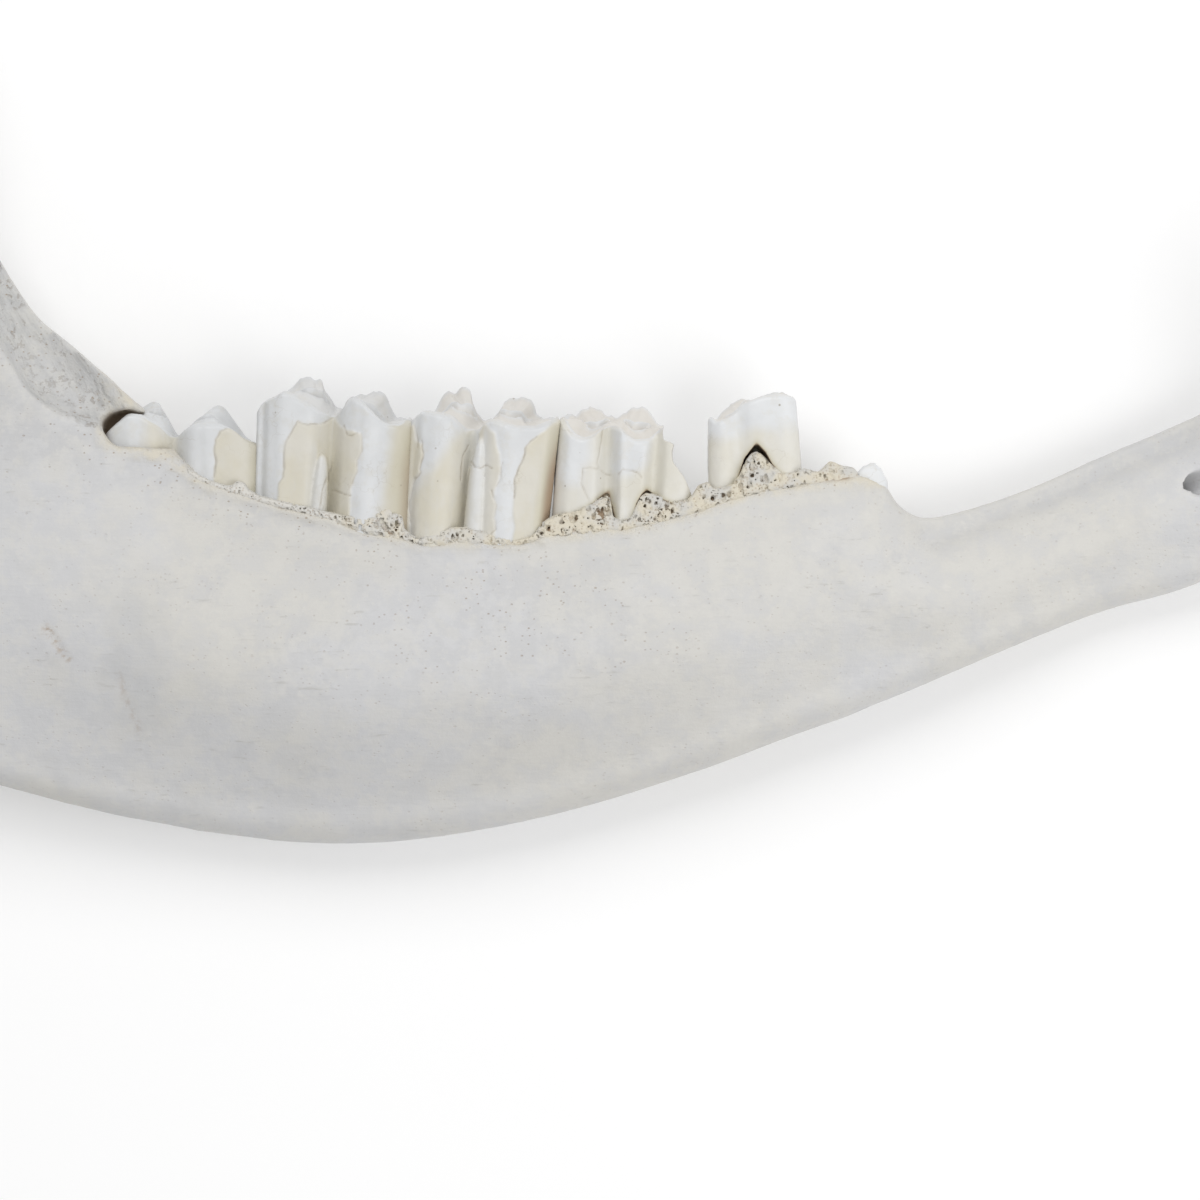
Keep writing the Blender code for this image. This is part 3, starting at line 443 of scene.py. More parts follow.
        "pits": ((-2.4, 3.6, 1), (8.2, 3.4, 1)),
        "enamel": (
            ((-7.2, 33.4), (-4, 32.6), (-1.5, 32.6), (-2.2, 28.1), (-3.8, 25.4), (-4.3, 22.6),
             (-6.8, 22.6), (-8.4, 24.9), (-7.7, 29.5)),
            ((2.4, 34.4), (5.4, 34.6), (6.4, 33), (10.2, 32.4), (9.7, 28.1), (8.4, 26.3), (6.2, 24.6),
             (3.4, 24.4), (1.8, 25.6)),
        ),
        "cracks": (
            ((-3.6, 26.1), (-3.9, 22.9), (-3.1, 21), (-2, 19.6), (-1.7, 18.4)),
            ((0.8, 34.3), (0.5, 31.4), (0.1, 29.1), (-0.6, 27.2), (-0.1, 26.1), (1.9, 24.9)),
            ((-3.6, 26.1), (-2, 26.3), (-0.1, 26.1)),
            ((3.4, 25), (4.8, 26), (7.2, 25.2), (8.3, 24.4)),
        ),
        "stain_and_shade": (0, 1),
        "wear": 0.8,
        "arch_floor": 3,
    },
    "milk_premolar_3": {
        "top": (21.6, 38.8),
        "foot": (21.3, 41.3, 15),
        "width": (9, 10.6),
        "z": 18,
        "cheek_rim": (
            (22, 36.6), (23, 35.8), (24.8, 36.3), (26.6, 37.4), (28, 39), (30.5, 40.1), (33, 40.8),
            (35.9, 40.9), (37.6, 40.8), (39, 40.3),
        ),
        "tongue_rim": (
            (22, 36.7), (22.6, 36.5), (24.8, 38.5), (26.6, 39.7), (27.4, 40.3), (29.6, 40.4), (30.4, 40),
            (33, 40.9), (34.4, 41.5), (35.9, 41.8), (37.3, 41.5), (39, 40.5),
        ),
        "valleys": ((27.2, 28.6, 0.2, 1.9),),
        "ribs": ((24.2, 24, 0.3, 1.6), (36.4, 37.6, 0.35, 2)),
        "arches": (
            ((31.1, 31), (28.9, 28.2), (28.4, 26.7), (27.6, 24.1), (26, 21.6), (25.4, 10), (38.6, 10),
             (38.6, 21), (37.4, 23.6), (36.4, 24.4), (35.1, 25.6), (34.1, 26.9), (32.8, 29.2)),
        ),
        "pits": ((26, 2.4, 0.8), (34.6, 3.4, 0.8)),
        "enamel": (
            ((20, 32.2), (22, 32.2), (25, 31.6), (27.5, 32.2), (29.5, 33.6), (31, 34.2), (33.5, 34),
             (36, 33.4), (39, 34.2), (42, 34.2), (42, 44), (20, 44)),
        ),
        "cracks": (),
        "stain_and_shade": (0, 1),
        "wear": 0.7,
    },
    "premolar_2_tip": {
        "top": (50.9, 57.4),
        "foot": (51, 57.3, 19),
        "width": (3.4, 8.4),
        "z": 18.8,
        "cheek_rim": ((50.9, 25.4), (52.6, 26.9), (54.4, 27.5), (56, 26.3), (57.4, 24)),
        "tongue_rim": ((50.9, 25.4), (52.8, 27.1), (54.4, 27.6), (56, 26.5), (57.4, 24)),
        "valleys": (),
        "ribs": (),
        "pits": (),
        "enamel": (((50, 20), (59, 20), (59, 30), (50, 30)),),
        "cracks": (),
        "stain_and_shade": (0, 1),
        "wear": 0,
    },
}
END_SQUARENESS = 4.5
END_FLAT = 0.985
TONGUE_VALLEY = 0.16
WALL_COLUMNS = 90
WALL_ROWS = 30
CROWN_ROWS = 34
# The chewing surface, across from its middle (0) to its sides (1): where the outer ridge of enamel
# stands, and where the pits lie, how far they bend to the cheek and how wide they are.
CREST = 0.84
RIM_ROUNDING = 0.8
RIDGE_HEIGHT = 0.6
# How far the tongue side's edge is nicked.
NICK_DEPTH = 0.16
RIDGE_WIDTH = 0.075
PIT_MIDDLE = 0.16
PIT_BEND = 0.42
PIT_WIDTH = 0.2
CROWN_SHRINK = 0.3
ARCH_DEPTH = 18
ARCH_FLOOR = -2.5
BREAK_HALF_DEPTH = 12
# How soft the edges of cement, cream and enamel areas are, and how wide a crack is.
CEMENT_EDGE = 0.7
CREAM_EDGE = 3.6
ENAMEL_EDGE = 3.2
CRACK_WIDTH = 0.16
# How much of a milk tooth's root is cream, and how far cement stands out of a tooth.
ROOT_CREAM = 0.75
CEMENT_LAYER = 0.2
# A pillar's outline, as shares of its height and of its half width there.
PILLAR_OUTLINE = (
    (0, 1), (0.35, 0.95), (0.65, 0.82), (0.85, 0.64), (0.95, 0.42), (0.985, 0.22), (1, 0.08),
)

# Front teeth. Each is placed across the jaw from its middle line and forward along it, turned out
# by its fan angle, and given its crown's width, length and its root's half width.
MIDDLE_LINE_YAW = 12
MIDDLE_LINE_START = (108, 0)
FRONT_TEETH = {
    "incisor_1": {
        "forward": 54, "out": 8.4, "y": 54.5, "fan": 3, "pitch": 40,
        "width": 14.5, "length": 17, "root": 3.9,
    },
    "incisor_2": {
        "forward": 50.5, "out": 18.4, "y": 53, "fan": 13, "pitch": 39,
        "width": 10, "length": 13, "root": 3,
    },
    "incisor_3": {
        "forward": 44.5, "out": 25, "y": 51.5, "fan": 24, "pitch": 38,
        "width": 9, "length": 11.5, "root": 2.7,
    },
    "canine": {
        "forward": 40, "out": 27, "y": 47, "fan": 34, "pitch": 37,
        "width": 8, "length": 10.5, "root": 2.5,
    },
}
ROOT_LENGTH = 9

# In metres: the floor's half side and drop, how high the camera looks, and the side of a lamp.
FLOOR_HALF = 3.0
FLOOR_DROP = 0.0002
CHEEK_HEIGHT = 0.015
LAMP_SIZE = 0.9


# Curves, noise and masks


def smoothstep(x):
    x = np.clip(x, 0, 1)
    return x * x * (3 - 2 * x)


def bell(x, reach):
    """A smooth bump that is 1 at 0 and fades out at about twice its reach."""
    return np.exp(-((np.asarray(x) / reach) ** 2))


def read_curve(knots, at):
    """A smooth curve through (position, value) knots that doesn't overshoot, read at the positions."""
    xs = np.array([k[0] for k in knots], float)
    ys = np.array([k[1] for k in knots], float)
    steps = np.diff(xs)
    slopes = np.diff(ys) / steps
    tangents = np.concatenate([[slopes[0]], np.zeros(len(slopes) - 1), [slopes[-1]]])
    for i in range(1, len(slopes)):
        if slopes[i - 1] * slopes[i] > 0:
            tangents[i] = 2 / (1 / slopes[i - 1] + 1 / slopes[i])
    at = np.clip(np.asarray(at, float), xs[0], xs[-1])
    i = np.clip(np.searchsorted(xs, at, side="right") - 1, 0, len(steps) - 1)
    t = (at - xs[i]) / steps[i]
    a = (1 + 2 * t) * (1 - t) ** 2
    b = t * (1 - t) ** 2
    c = t**2 * (3 - 2 * t)
    d = t**2 * (t - 1)
    return a * ys[i] + b * steps[i] * tangents[i] + c * ys[i + 1] + d * steps[i] * tangents[i + 1]


def smooth_rows(rows, per_span):
    """Rows of numbers, with per_span rows on a smooth curve put in each span."""
    rows = np.array(rows, float)
    padded = np.vstack([2 * rows[0] - rows[1], rows, 2 * rows[-1] - rows[-2]])
    made = []
    for i in range(1, len(padded) - 2):
        before, here, after, beyond = padded[i - 1 : i + 3]
        for k in range(per_span):
            t = k / per_span
            line = 2 * here + (after - before) * t
            bend = (2 * before - 5 * here + 4 * after - beyond) * t**2
            twist = (3 * here - before - 3 * after + beyond) * t**3
            made.append(0.5 * (line + bend + twist))
    made.append(rows[-1])
    return np.array(made)


NOISE_SIDE = 48


@functools.cache
def noise_table(seed):
    return np.random.default_rng(seed).uniform(-1, 1, (NOISE_SIDE,) * 3)


def noise_at(points, size, seed):
    """Smooth noise from -1 to 1 at points, with features about size millimetres across."""
    table = noise_table(seed)
    place = points / size
    base = np.floor(place).astype(int)
    part = smoothstep(place - base)
    total = np.zeros(len(points))
    for corner in itertools.product((0, 1), repeat=3):
        weight = np.prod(np.where(corner, part, 1 - part), axis=1)
        i, j, k = ((base + corner) % NOISE_SIDE).T
        total += weight * table[i, j, k]
    return total


def rough_at(points, size, seed, octaves=3):
    """Noise with finer noise on it."""
    layers = [noise_at(points, size / 2**k, seed + k) / 2**k for k in range(octaves)]
    return sum(layers) / 1.4


def distance_to_route(places, route):
    """How far each (x, y) or (x, y, z) is from the line through the route's points."""
    nearest = np.full(len(places), np.inf)
    for start, end in zip(route, route[1:]):
        start, span = np.array(start, float), np.subtract(end, start)
        along = np.clip((places - start) @ span / (span @ span), 0, 1)
        gap = places - start - along[:, None] * span
        nearest = np.minimum(nearest, np.linalg.norm(gap, axis=1))
    return nearest


def inside_outline(places, outline, softness):
    """1 inside a closed outline of (x, y) points, 0 outside, with an edge as soft as it says."""
    closed = [*outline, outline[0]]
    crossings = np.zeros(len(places), bool)
    for (x0, y0), (x1, y1) in zip(closed, closed[1:]):
        if y0 != y1:
            spans = (y0 > places[:, 1]) != (y1 > places[:, 1])
            meets = x0 + (places[:, 1] - y0) / (y1 - y0) * (x1 - x0)
            crossings ^= spans & (places[:, 0] < meets)
    signed = distance_to_route(places, closed) * np.where(crossings, 1, -1)
    return smoothstep(signed / softness + 0.5)


def from_middle(x, y, middle, half):
    """How far each place is from the middle of an oval, as a share of the oval's half sizes."""
    return np.hypot((x - middle[0]) / half[0], (y - middle[1]) / half[1])


# Meshes


def side_collection(name):
    made = bpy.data.collections.new(name)
    bpy.context.scene.collection.children.link(made)
    return made


def new_object(name, mesh, collection):
    obj = bpy.data.objects.new(name, mesh)
    collection.objects.link(obj)
    return obj


def loft(name, rings, collection, ladder_caps=False):
    """A closed solid through rings of points in millimetres, each ring with the same number.

    A ladder cap joins the first half of a ring to its second half by rungs."""
    bm = bmesh.new()
    made = [[bm.verts.new(Vector(p) * MM) for p in ring] for ring in rings]
    count = len(made[0])
    for first, second in zip(made, made[1:]):
        for i in range(count):
            j = (i + 1) % count
            bm.faces.new((first[i], first[j], second[j], second[i]))
    for ring in (made[0], made[-1]):
        if ladder_caps:
            for i in range(count // 2 - 1):
                bm.faces.new((ring[i], ring[i + 1], ring[-2 - i], ring[-1 - i]))
        else:
            bm.faces.new(ring)
    bmesh.ops.recalc_face_normals(bm, faces=bm.faces)
    mesh = bpy.data.meshes.new(name)
    bm.to_mesh(mesh)
    bm.free()
    return new_object(name, mesh, collection)


def around(sides):
    """The cosine and sine of each step of a full turn."""
    turns = [2 * math.pi * i / sides for i in range(sides)]
    return [(math.cos(a), math.sin(a)) for a in turns]


def tube(name, route, collection, sides=20):
    """A closed tube along (point, radius) pairs, rounded off at both ends."""
    rows = smooth_rows([(*point, radius) for point, radius in route], 6)
    points, radii = rows[:, :3], rows[:, 3]
    along = np.gradient(points, axis=0)
    along /= np.linalg.norm(along, axis=1)[:, None]
    ends = (
        (points[0] - along[0] * radii[0] * 0.6, radii[0] * 0.55, along[0]),
        (points[-1] + along[-1] * radii[-1] * 0.6, radii[-1] * 0.55, along[-1]),
    )
    rings = []
    for point, radius, direction in [ends[0], *zip(points, radii, along), ends[1]]:
        side = Vector(direction).cross(Vector((0.3, 0.5, 0.8))).normalized() * float(radius)
        other = Vector(direction).cross(side)
        rings.append([Vector(point) + c * side + s * other for c, s in around(sides)])
    return loft(name, rings, collection)


def slab(name, outline, z_low, z_high, collection):
    """A plate with the outline, from one height to another."""
    rings = [[(x, y, z) for x, y in outline] for z in (z_low, z_high)]
    return loft(name, rings, collection)


def apply_modifier(obj, kind, **values):
    modifier = obj.modifiers.new(kind.lower(), kind)
    for key, value in values.items():
        setattr(modifier, key, value)
    with bpy.context.temp_override(object=obj, active_object=obj):
        bpy.ops.object.modifier_apply(modifier=modifier.name)


def even_out(obj, voxel, smoothing):
    """Remakes the surface in quads of one size, then softens it."""
    apply_modifier(obj, "REMESH", mode="VOXEL", voxel_size=voxel)
    apply_modifier(obj, "SMOOTH", factor=0.5, iterations=smoothing)


def combine(obj, others, operation):
    """Joins or cuts obj with the closed meshes of a collection, then removes them."""
    apply_modifier(
        obj, "BOOLEAN", operation=operation, operand_type="COLLECTION", collection=others, solver="EXACT"
    )
    for other in list(others.objects):
        bpy.data.objects.remove(other)
    bpy.data.collections.remove(others)


def points_of(obj):
    """The mesh's points in millimetres."""
    flat = np.empty(len(obj.data.vertices) * 3, np.float32)
    obj.data.vertices.foreach_get("co", flat)
    return flat.reshape(-1, 3).astype(float) / MM


def normals_of(obj):
    flat = np.empty(len(obj.data.vertices) * 3, np.float32)
    obj.data.vertex_normals.foreach_get("vector", flat)
    return flat.reshape(-1, 3).astype(float)


def move_points(obj, points):
    obj.data.vertices.foreach_set("co", (points * MM).astype(np.float32).ravel())
    obj.data.update()


def paint(obj, masks):
    """Keeps one number a point under each name, which the piece's material reads."""
    for name, values in masks.items():
        layer = obj.data.attributes.new(name, "FLOAT", "POINT")
        layer.data.foreach_set("value", np.asarray(values, np.float32))


def resting():
    """Turns and moves things from the view frame to the way the jaw lies."""
    roll = Matrix.Rotation(math.radians(REST_ROLL), 4, "X")
    turn = roll @ Matrix.Rotation(math.radians(REST_PITCH), 4, "Y")
    return Matrix.Translation(Vector(REST_SHIFT) * MM) @ turn


def finish_piece(obj, material):
    obj.data.materials.clear()
    obj.data.materials.append(material)
    obj.data.shade_smooth()
    obj.data.transform(resting())
    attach(obj, BODY)
    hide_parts(NODE)


# Nodes


class Nodes:
    """Adds nodes to one tree. Each input is a number, a colour or another node's output."""

    def __init__(self, tree):
        self.tree = tree

    def add(self, kind, inputs=None, **settings):
        node = self.tree.nodes.new(kind)
        for key, value in settings.items():
            setattr(node, key, value)
        for key, value in (inputs or {}).items():
            if isinstance(value, bpy.types.NodeSocket):
                self.tree.links.new(value, node.inputs[key])
            else:
                node.inputs[key].default_value = value
        return node

    def calc(self, operation, *values):
        return self.add("ShaderNodeMath", dict(enumerate(values)), operation=operation).outputs[0]

    times = functools.partialmethod(calc, "MULTIPLY")
    plus = functools.partialmethod(calc, "ADD")
    minus = functools.partialmethod(calc, "SUBTRACT")
    over = functools.partialmethod(calc, "DIVIDE")
    larger = functools.partialmethod(calc, "MAXIMUM")
    smaller = functools.partialmethod(calc, "MINIMUM")

    def vector(self, operation, first, second):
        node = self.add("ShaderNodeVectorMath", {0: first, 1: second}, operation=operation)
        return node.outputs["Value" if operation == "DOT_PRODUCT" else "Vector"]

    def split(self, vector):
        """Its three numbers."""
        return self.add("ShaderNodeSeparateXYZ", {0: vector}).outputs

    def fade(self, value, start, end, low=0.0, high=1.0):
        """Runs smoothly from low to high as the value goes from start to end."""
        inputs = {"Value": value, "From Min": start, "From Max": end, "To Min": low, "To Max": high}
        node = self.add("ShaderNodeMapRange", inputs, interpolation_type="SMOOTHSTEP")
        return node.outputs["Result"]

    def blend(self, share, first, second, mode="MIX"):
        inputs = {0: share, 6: first, 7: second}
        return self.add("ShaderNodeMix", inputs, data_type="RGBA", blend_type=mode).outputs[2]

    def layer(self, colour, *layers):
        """The colour with others over it, one after another, each given by its share and itself."""
        for share, over in layers:
            colour = self.blend(share, colour, over)
        return colour

    def attribute(self, name):
        return self.add("ShaderNodeAttribute", attribute_name=name).outputs["Fac"]

    def noise(self, vector, scale, detail=3.0, roughness=0.55):
        inputs = {"Vector": vector, "Scale": scale, "Detail": detail, "Roughness": roughness}
        return self.add("ShaderNodeTexNoise", inputs).outputs[0]

    def stretched(self, vector, scale):
        return self.add("ShaderNodeMapping", {"Vector": vector, "Scale": scale}).outputs[0]

    def cells(self, vector, scale, **settings):
        """A scattered set of cells: the distance from the middle of each, and a colour for each."""
        return self.add("ShaderNodeTexVoronoi", {"Vector": vector, "Scale": scale}, **settings).outputs

    def specks(self, vector, scale, edge, chosen):
        """Dots in some cells, with the two distances where they end and the two shares left out."""
        cells = self.cells(vector, scale)
        red = self.add("ShaderNodeSeparateColor", {0: cells["Color"]}).outputs[0]
        return self.times(self.fade(cells["Distance"], *edge, 1, 0), self.fade(red, *chosen))

    def dress(self, colour, height, strength, distance):
        """Gives the material's shader its colour and a bump from the height."""
        inputs = {"Height": height, "Strength": strength, "Distance": distance}
        bump = self.add("ShaderNodeBump", inputs).outputs[0]
        shader = self.tree.nodes["Principled BSDF"]
        self.tree.links.new(colour, shader.inputs["Base Color"])
        self.tree.links.new(bump, shader.inputs["Normal"])


def new_material(name, roughness):
    """A material with its nodes, its shader and its object coordinates."""
    material = bpy.data.materials.new(name)
    material.use_nodes = True
    nodes = Nodes(material.node_tree)
    shader = material.node_tree.nodes["Principled BSDF"]
    shader.inputs["Roughness"].default_value = roughness
    shader.inputs["Metallic"].default_value = 0
    return material, nodes, shader, nodes.add("ShaderNodeTexCoord").outputs["Object"]


def rgba(colour, shade=1.0):
    return (*(shade * c for c in colour), 1)


def weathering_and_painted_light(n, place, back, lowest):
    """Painted light and shade, partly the bone's own weathering: a little lighter towards the front teeth
    and darker along the lower border.
    """
    x, y, _ = n.split(place)
    forward = n.fade(x, -42 * MM, 55 * MM, back, FRONT_SHADE)
    return n.times(forward, n.fade(y, -106 * MM, -50 * MM, lowest, 1.0))


def bone_material(colours):
    """Pale dry bone: cool and warm clouds, streaks, fine pores, grey trough, beige rim, and painted light
    and shade.
    """
    material, n, _, place = new_material("dry_bone", 0.6)
    rim, trough, spongy, scar, patch, hole, speckled, groove = (
        n.attribute(name)
        for name in ("rim", "trough", "spongy", "scar", "patch", "hole", "speckled", "groove")
    )
    clouds = n.noise(place, 26, 4)
    blotches = n.noise(place, 75, 4, 0.6)
    mottle = n.noise(place, 330, 5, 0.65)
    grain = n.noise(n.stretched(place, (0.16, 1, 0.8)), 900, 4, 0.6)
    tone = n.noise(place, 170, 5, 0.7)
    dull_and_shaded = n.times(n.fade(blotches, 0.5, 0.66), n.fade(mottle, 0.35, 0.65))
    # The speckled mask also holds the painted shade of the middle patch.
    dull_and_shaded = n.larger(dull_and_shaded, n.times(speckled, n.fade(mottle, 0.4, 0.56)))
    # Painted shade along the side groove.
    dull_and_shaded = n.larger(dull_and_shaded, groove)
    streaks = n.times(n.fade(grain, 0.6, 0.72), n.fade(blotches, 0.46, 0.6))
    inputs = {"Vector": place, "Rotation": (0, 0, TROUGH_TURN), "Scale": (4, 1, 1)}
    turned = n.add("ShaderNodeMapping", inputs, vector_type="TEXTURE").outputs[0]
    ribbing = n.fade(n.noise(turned, 700, 4, 0.65), 0.42, 0.66)
    pits = n.fade(n.noise(place, 760, 3, 0.65), 0.53, 0.6)
    patches = n.fade(n.noise(turned, 200, 3, 0.6), 0.42, 0.54)
    dark_pits = n.times(n.times(trough, pits), patches)
    ragged = n.fade(n.noise(place, 1000, 4, 0.7), 0.46, 0.56, 0.1, 0.75)
    squeezed = n.stretched(place, (0.7, 1, 0.9))
    dots = 0.0
    for scale, size, group, low in BONE_PORES:
        speck = n.specks(squeezed, scale, (0.5 * size, size), (0.3, 0.8))
        grouped = n.fade(n.noise(place, group, 2), low, low + 0.1)
        dots = n.larger(dots, n.times(speck, grouped))
    dots = n.times(dots, n.fade(n.larger(rim, speckled), 0.0, 1.0, 0.16, 0.66))
    colour = n.layer(
        n.blend(n.fade(clouds, 0.4, 0.6), rgba(colours.bone_cool), rgba(colours.bone_warm)),
        (n.times(dull_and_shaded, 0.6), rgba(colours.bone_cool, 0.86)),
        (n.fade(tone, 0.46, 0.62, 0, 0.4), rgba(colours.bone_cool, 0.94)),
        (n.fade(tone, 0.54, 0.4, 0, 0.4), rgba(colours.bone_warm, 1.06)),
        (n.times(n.fade(mottle, 0.6, 0.72), 0.35), rgba(colours.bone_warm, 1.12)),
        (n.times(streaks, 0.6), rgba(colours.bone_warm, 0.75)),
        (n.times(patch, 0.35), rgba(colours.trough)),
        (n.times(rim, n.fade(mottle, 0.3, 0.65, 0.1, 0.8)), rgba(colours.spongy)),
        (n.times(trough, 0.85), rgba(colours.trough)),
        (n.times(ribbing, n.times(trough, 0.8)), rgba(colours.trough, 0.72)),
        (n.times(dark_pits, 0.85), rgba(colours.stain_and_shade, 0.5)),
        # Stain and painted shade on the skin under the spongy bone, seen down its cells.
        (spongy, rgba(colours.stain_and_shade)),
        # Painted shade on the floor of the crypt.
        (hole, rgba(colours.stain_and_shade, 0.6)),
        (n.times(scar, ragged), rgba(colours.stain_and_shade)),
        (dots, rgba(colours.stain_and_shade, 0.9)),
    )
    # Painted light and shade, partly weathering: lighter towards the front, darker low down.
    colour = n.blend(1.0, colour, weathering_and_painted_light(n, place, BACK_SHADE, LOWER_SHADE), "MULTIPLY")
    rough = n.times(n.larger(rim, trough), n.noise(place, 800, 4, 0.7))
    height = n.plus(n.times(grain, 0.5), n.times(mottle, 0.7))
    height = n.minus(n.plus(height, n.times(rough, 3.5)), n.times(ribbing, trough))
    height = n.minus(height, n.times(n.larger(dots, dark_pits), 1.8))
    n.dress(colour, height, 0.4, 0.5 * MM)
    return material


def spongy_material(colours):
    """Open cell bone: beige on top, and brown down in its cells from stain and painted shade."""
    material, n, _, place = new_material("spongy_bone", 0.8)
    clouds = n.noise(place, 260, 4)
    speck = n.fade(n.cells(place, 1700.0)["Distance"], 0.2, 0.42, 0.45, 0)
    speck = n.times(speck, n.fade(n.noise(place, 420, 2), 0.42, 0.58))
    colour = n.layer(
        n.blend(n.fade(clouds, 0.35, 0.65), rgba(colours.spongy), rgba(colours.bone_warm)),
        (n.fade(n.split(place)[0], -38 * MM, -30 * MM, 0.85, 0.0), rgba(colours.bone_warm, 1.08)),
        (speck, rgba(colours.stain_and_shade)),
        # Stain and painted shade: browner the deeper a point lies in the cells.
        (n.fade(n.attribute("depth"), 0.4, 1.8, 0.0, 0.8), rgba(colours.stain_and_shade, 1.15)),
    )
    n.dress(colour, n.minus(n.noise(place, 1500, 3, 0.6), n.times(speck, 2.0)), 0.4, 0.2 * MM)
    return material


def tooth_material(colours):
    """White enamel under cream cement, with brown cracks, and ends darkened by stain and painted shade.
    """
    material, n, _, place = new_material("tooth", 0.38)
    cement, crack, stain_and_shade, worn = (n.attribute(name) for name in ("cement", "crack", "stain_and_shade", "worn"))
    streaks = n.noise(n.stretched(place, (1, 0.25, 1)), 420, 4, 0.6)
    clouds = n.noise(place, 110, 4)
    cloudy = n.noise(place, 320, 4, 0.65)
    white = n.blend(n.fade(clouds, 0.35, 0.65), rgba(colours.enamel), rgba(colours.enamel, 0.94))
    cream = n.blend(n.fade(clouds, 0.36, 0.64), rgba(colours.cement), rgba(colours.cement_dark))
    share = n.times(cement, n.fade(streaks, 0.2, 0.5, 0.75, 1.0))
    bent = n.blend(0.004, place, n.add("ShaderNodeTexNoise", {0: place, 2: 500}).outputs[1])
    webs = n.cells(bent, 230.0, feature="DISTANCE_TO_EDGE")["Distance"]
    hairline = n.fade(webs, 0.01, 0.026, 0.2, 0.0)
    hairline = n.times(hairline, n.fade(n.noise(place, 90, 2), 0.5, 0.66))
    dark = n.times(crack, n.fade(streaks, 0.3, 0.6, 0.22, 0.62))
    speck = n.specks(place, 280.0, (0.035, 0.085), (0.68, 0.7))
    colour = n.layer(
        n.blend(share, white, cream),
        (n.fade(cloudy, 0.48, 0.66, 0, 0.3), rgba(colours.cement, 0.93)),
        (hairline, rgba(colours.crack)),
        (n.times(worn, 0.8), rgba(colours.dentine)),
        # Stain, and painted shade in valleys and gaps: yellower where light, browner where strong.
        (n.times(n.fade(stain_and_shade, 0.0, 0.6), 0.8), rgba(colours.yellowed_and_shaded)),
        (n.fade(stain_and_shade, 0.45, 1.0), rgba(colours.stain_and_shade)),
        (dark, rgba(colours.crack)),
        (n.times(speck, 0.75), rgba(colours.crack, 0.8)),
    )
    # Painted light and shade: darker on the back teeth, lighter on the front ones.
    colour = n.blend(1.0, colour, weathering_and_painted_light(n, place, BACK_TOOTH_SHADE, 1.0), "MULTIPLY")
    height = n.minus(n.plus(n.times(streaks, 0.5), n.times(cement, 0.4)), dark)
    n.dress(colour, n.plus(height, n.times(cloudy, 0.5)), 0.25, 0.3 * MM)
    return material


# The bone


def plate_ring(row):
    """Points round one station: a plate whose thickness and middle vary between its two borders."""
    outer, inner = row[0:2], row[2:4]
    thick, middle = row[4:7], row[7:10]
    height = np.linalg.norm(inner - outer)
    outer = outer - (inner - outer) / height * SMOOTHING_LOSS
    height += SMOOTHING_LOSS
    r_outer = min(thick[0] / 2, height * 0.45)
    r_inner = min(thick[2] / 2, height * 0.45)
    quarter = np.linspace(0, math.pi / 2, ARC_STEPS + 1)
    power = 2 / UPPER_SQUARENESS
    flank = np.linspace(r_outer, height - r_inner, FLANK_STEPS + 2)[1:-1]
    rounded = r_outer * (1 - np.cos(quarter))
    squared = r_inner * (1 - np.cos(quarter) ** power)[::-1]
    depth = np.concatenate([rounded, flank, height - squared])
    fullness = np.concatenate([np.sin(quarter), np.ones(FLANK_STEPS), np.sin(quarter[::-1]) ** power])
    share = depth / height
    knots = (r_outer / height, 0.5, 1 - r_inner / height)
    half = read_curve(tuple(zip(knots, thick)), share) / 2 * fullness
    centre = read_curve(tuple(zip(knots, middle)), share)
    plan = outer + share[:, None] * (inner - outer)
    cheek_side = [(x, y, z) for (x, y), z in zip(plan, centre + half)]
    tongue_side = [(x, y, z) for (x, y), z in zip(plan, centre - half)]
    return cheek_side + tongue_side[-2:0:-1]


def bone_plate(collection):
    rows = [(*outer, *inner, *thick, *middle) for outer, inner, thick, middle in STATIONS]
    rings = [plate_ring(row) for row in smooth_rows(rows, RINGS_PER_STATION)]
    return loft("bone", rings, collection)


def condylar_process(collection, sides=40):
    """Neck and condyle: a bar set across the jaw on a neck that widens to it."""
    rings = []
    for y, x, z, half_x, half_z in smooth_rows(CONDYLE_RINGS, 6):
        rings.append([(x + half_x * c, y, z + half_z * s) for c, s in around(sides)])
    loft("condylar_process", rings, collection)


def coronoid_process(collection, sides=36):
    """A thin blade that rises and curves back."""
    rows = smooth_rows(CORONOID_RINGS, 6)
    along = np.gradient(rows[:, :2], axis=0)
    along /= np.linalg.norm(along, axis=1)[:, None]
    rings = []
    for (x, y, z, half_width, half_thick), (dx, dy) in zip(rows, along):
        ring = []
        for c, s in around(sides):
            across = half_width * c
            ring.append((x + dy * across, y - dx * across, z + half_thick * s))
        rings.append(ring)
    loft("coronoid_process", rings, collection)


def drum(name, centre, half, lean, collection):
    """An upright drum with three half sizes, leant about the view's own axis."""
    bm = bmesh.new()
    bmesh.ops.create_cone(
        bm, cap_ends=True, cap_tris=False, segments=64, radius1=1, radius2=1, depth=2
    )
    mesh = bpy.data.meshes.new(name)
    bm.to_mesh(mesh)
    bm.free()
    turn = Matrix.Rotation(math.radians(lean), 3, "Z").to_quaternion()
    mesh.transform(Matrix.LocRotScale(Vector(centre) * MM, turn, Vector(half) * MM))
    return new_object(name, mesh, collection)


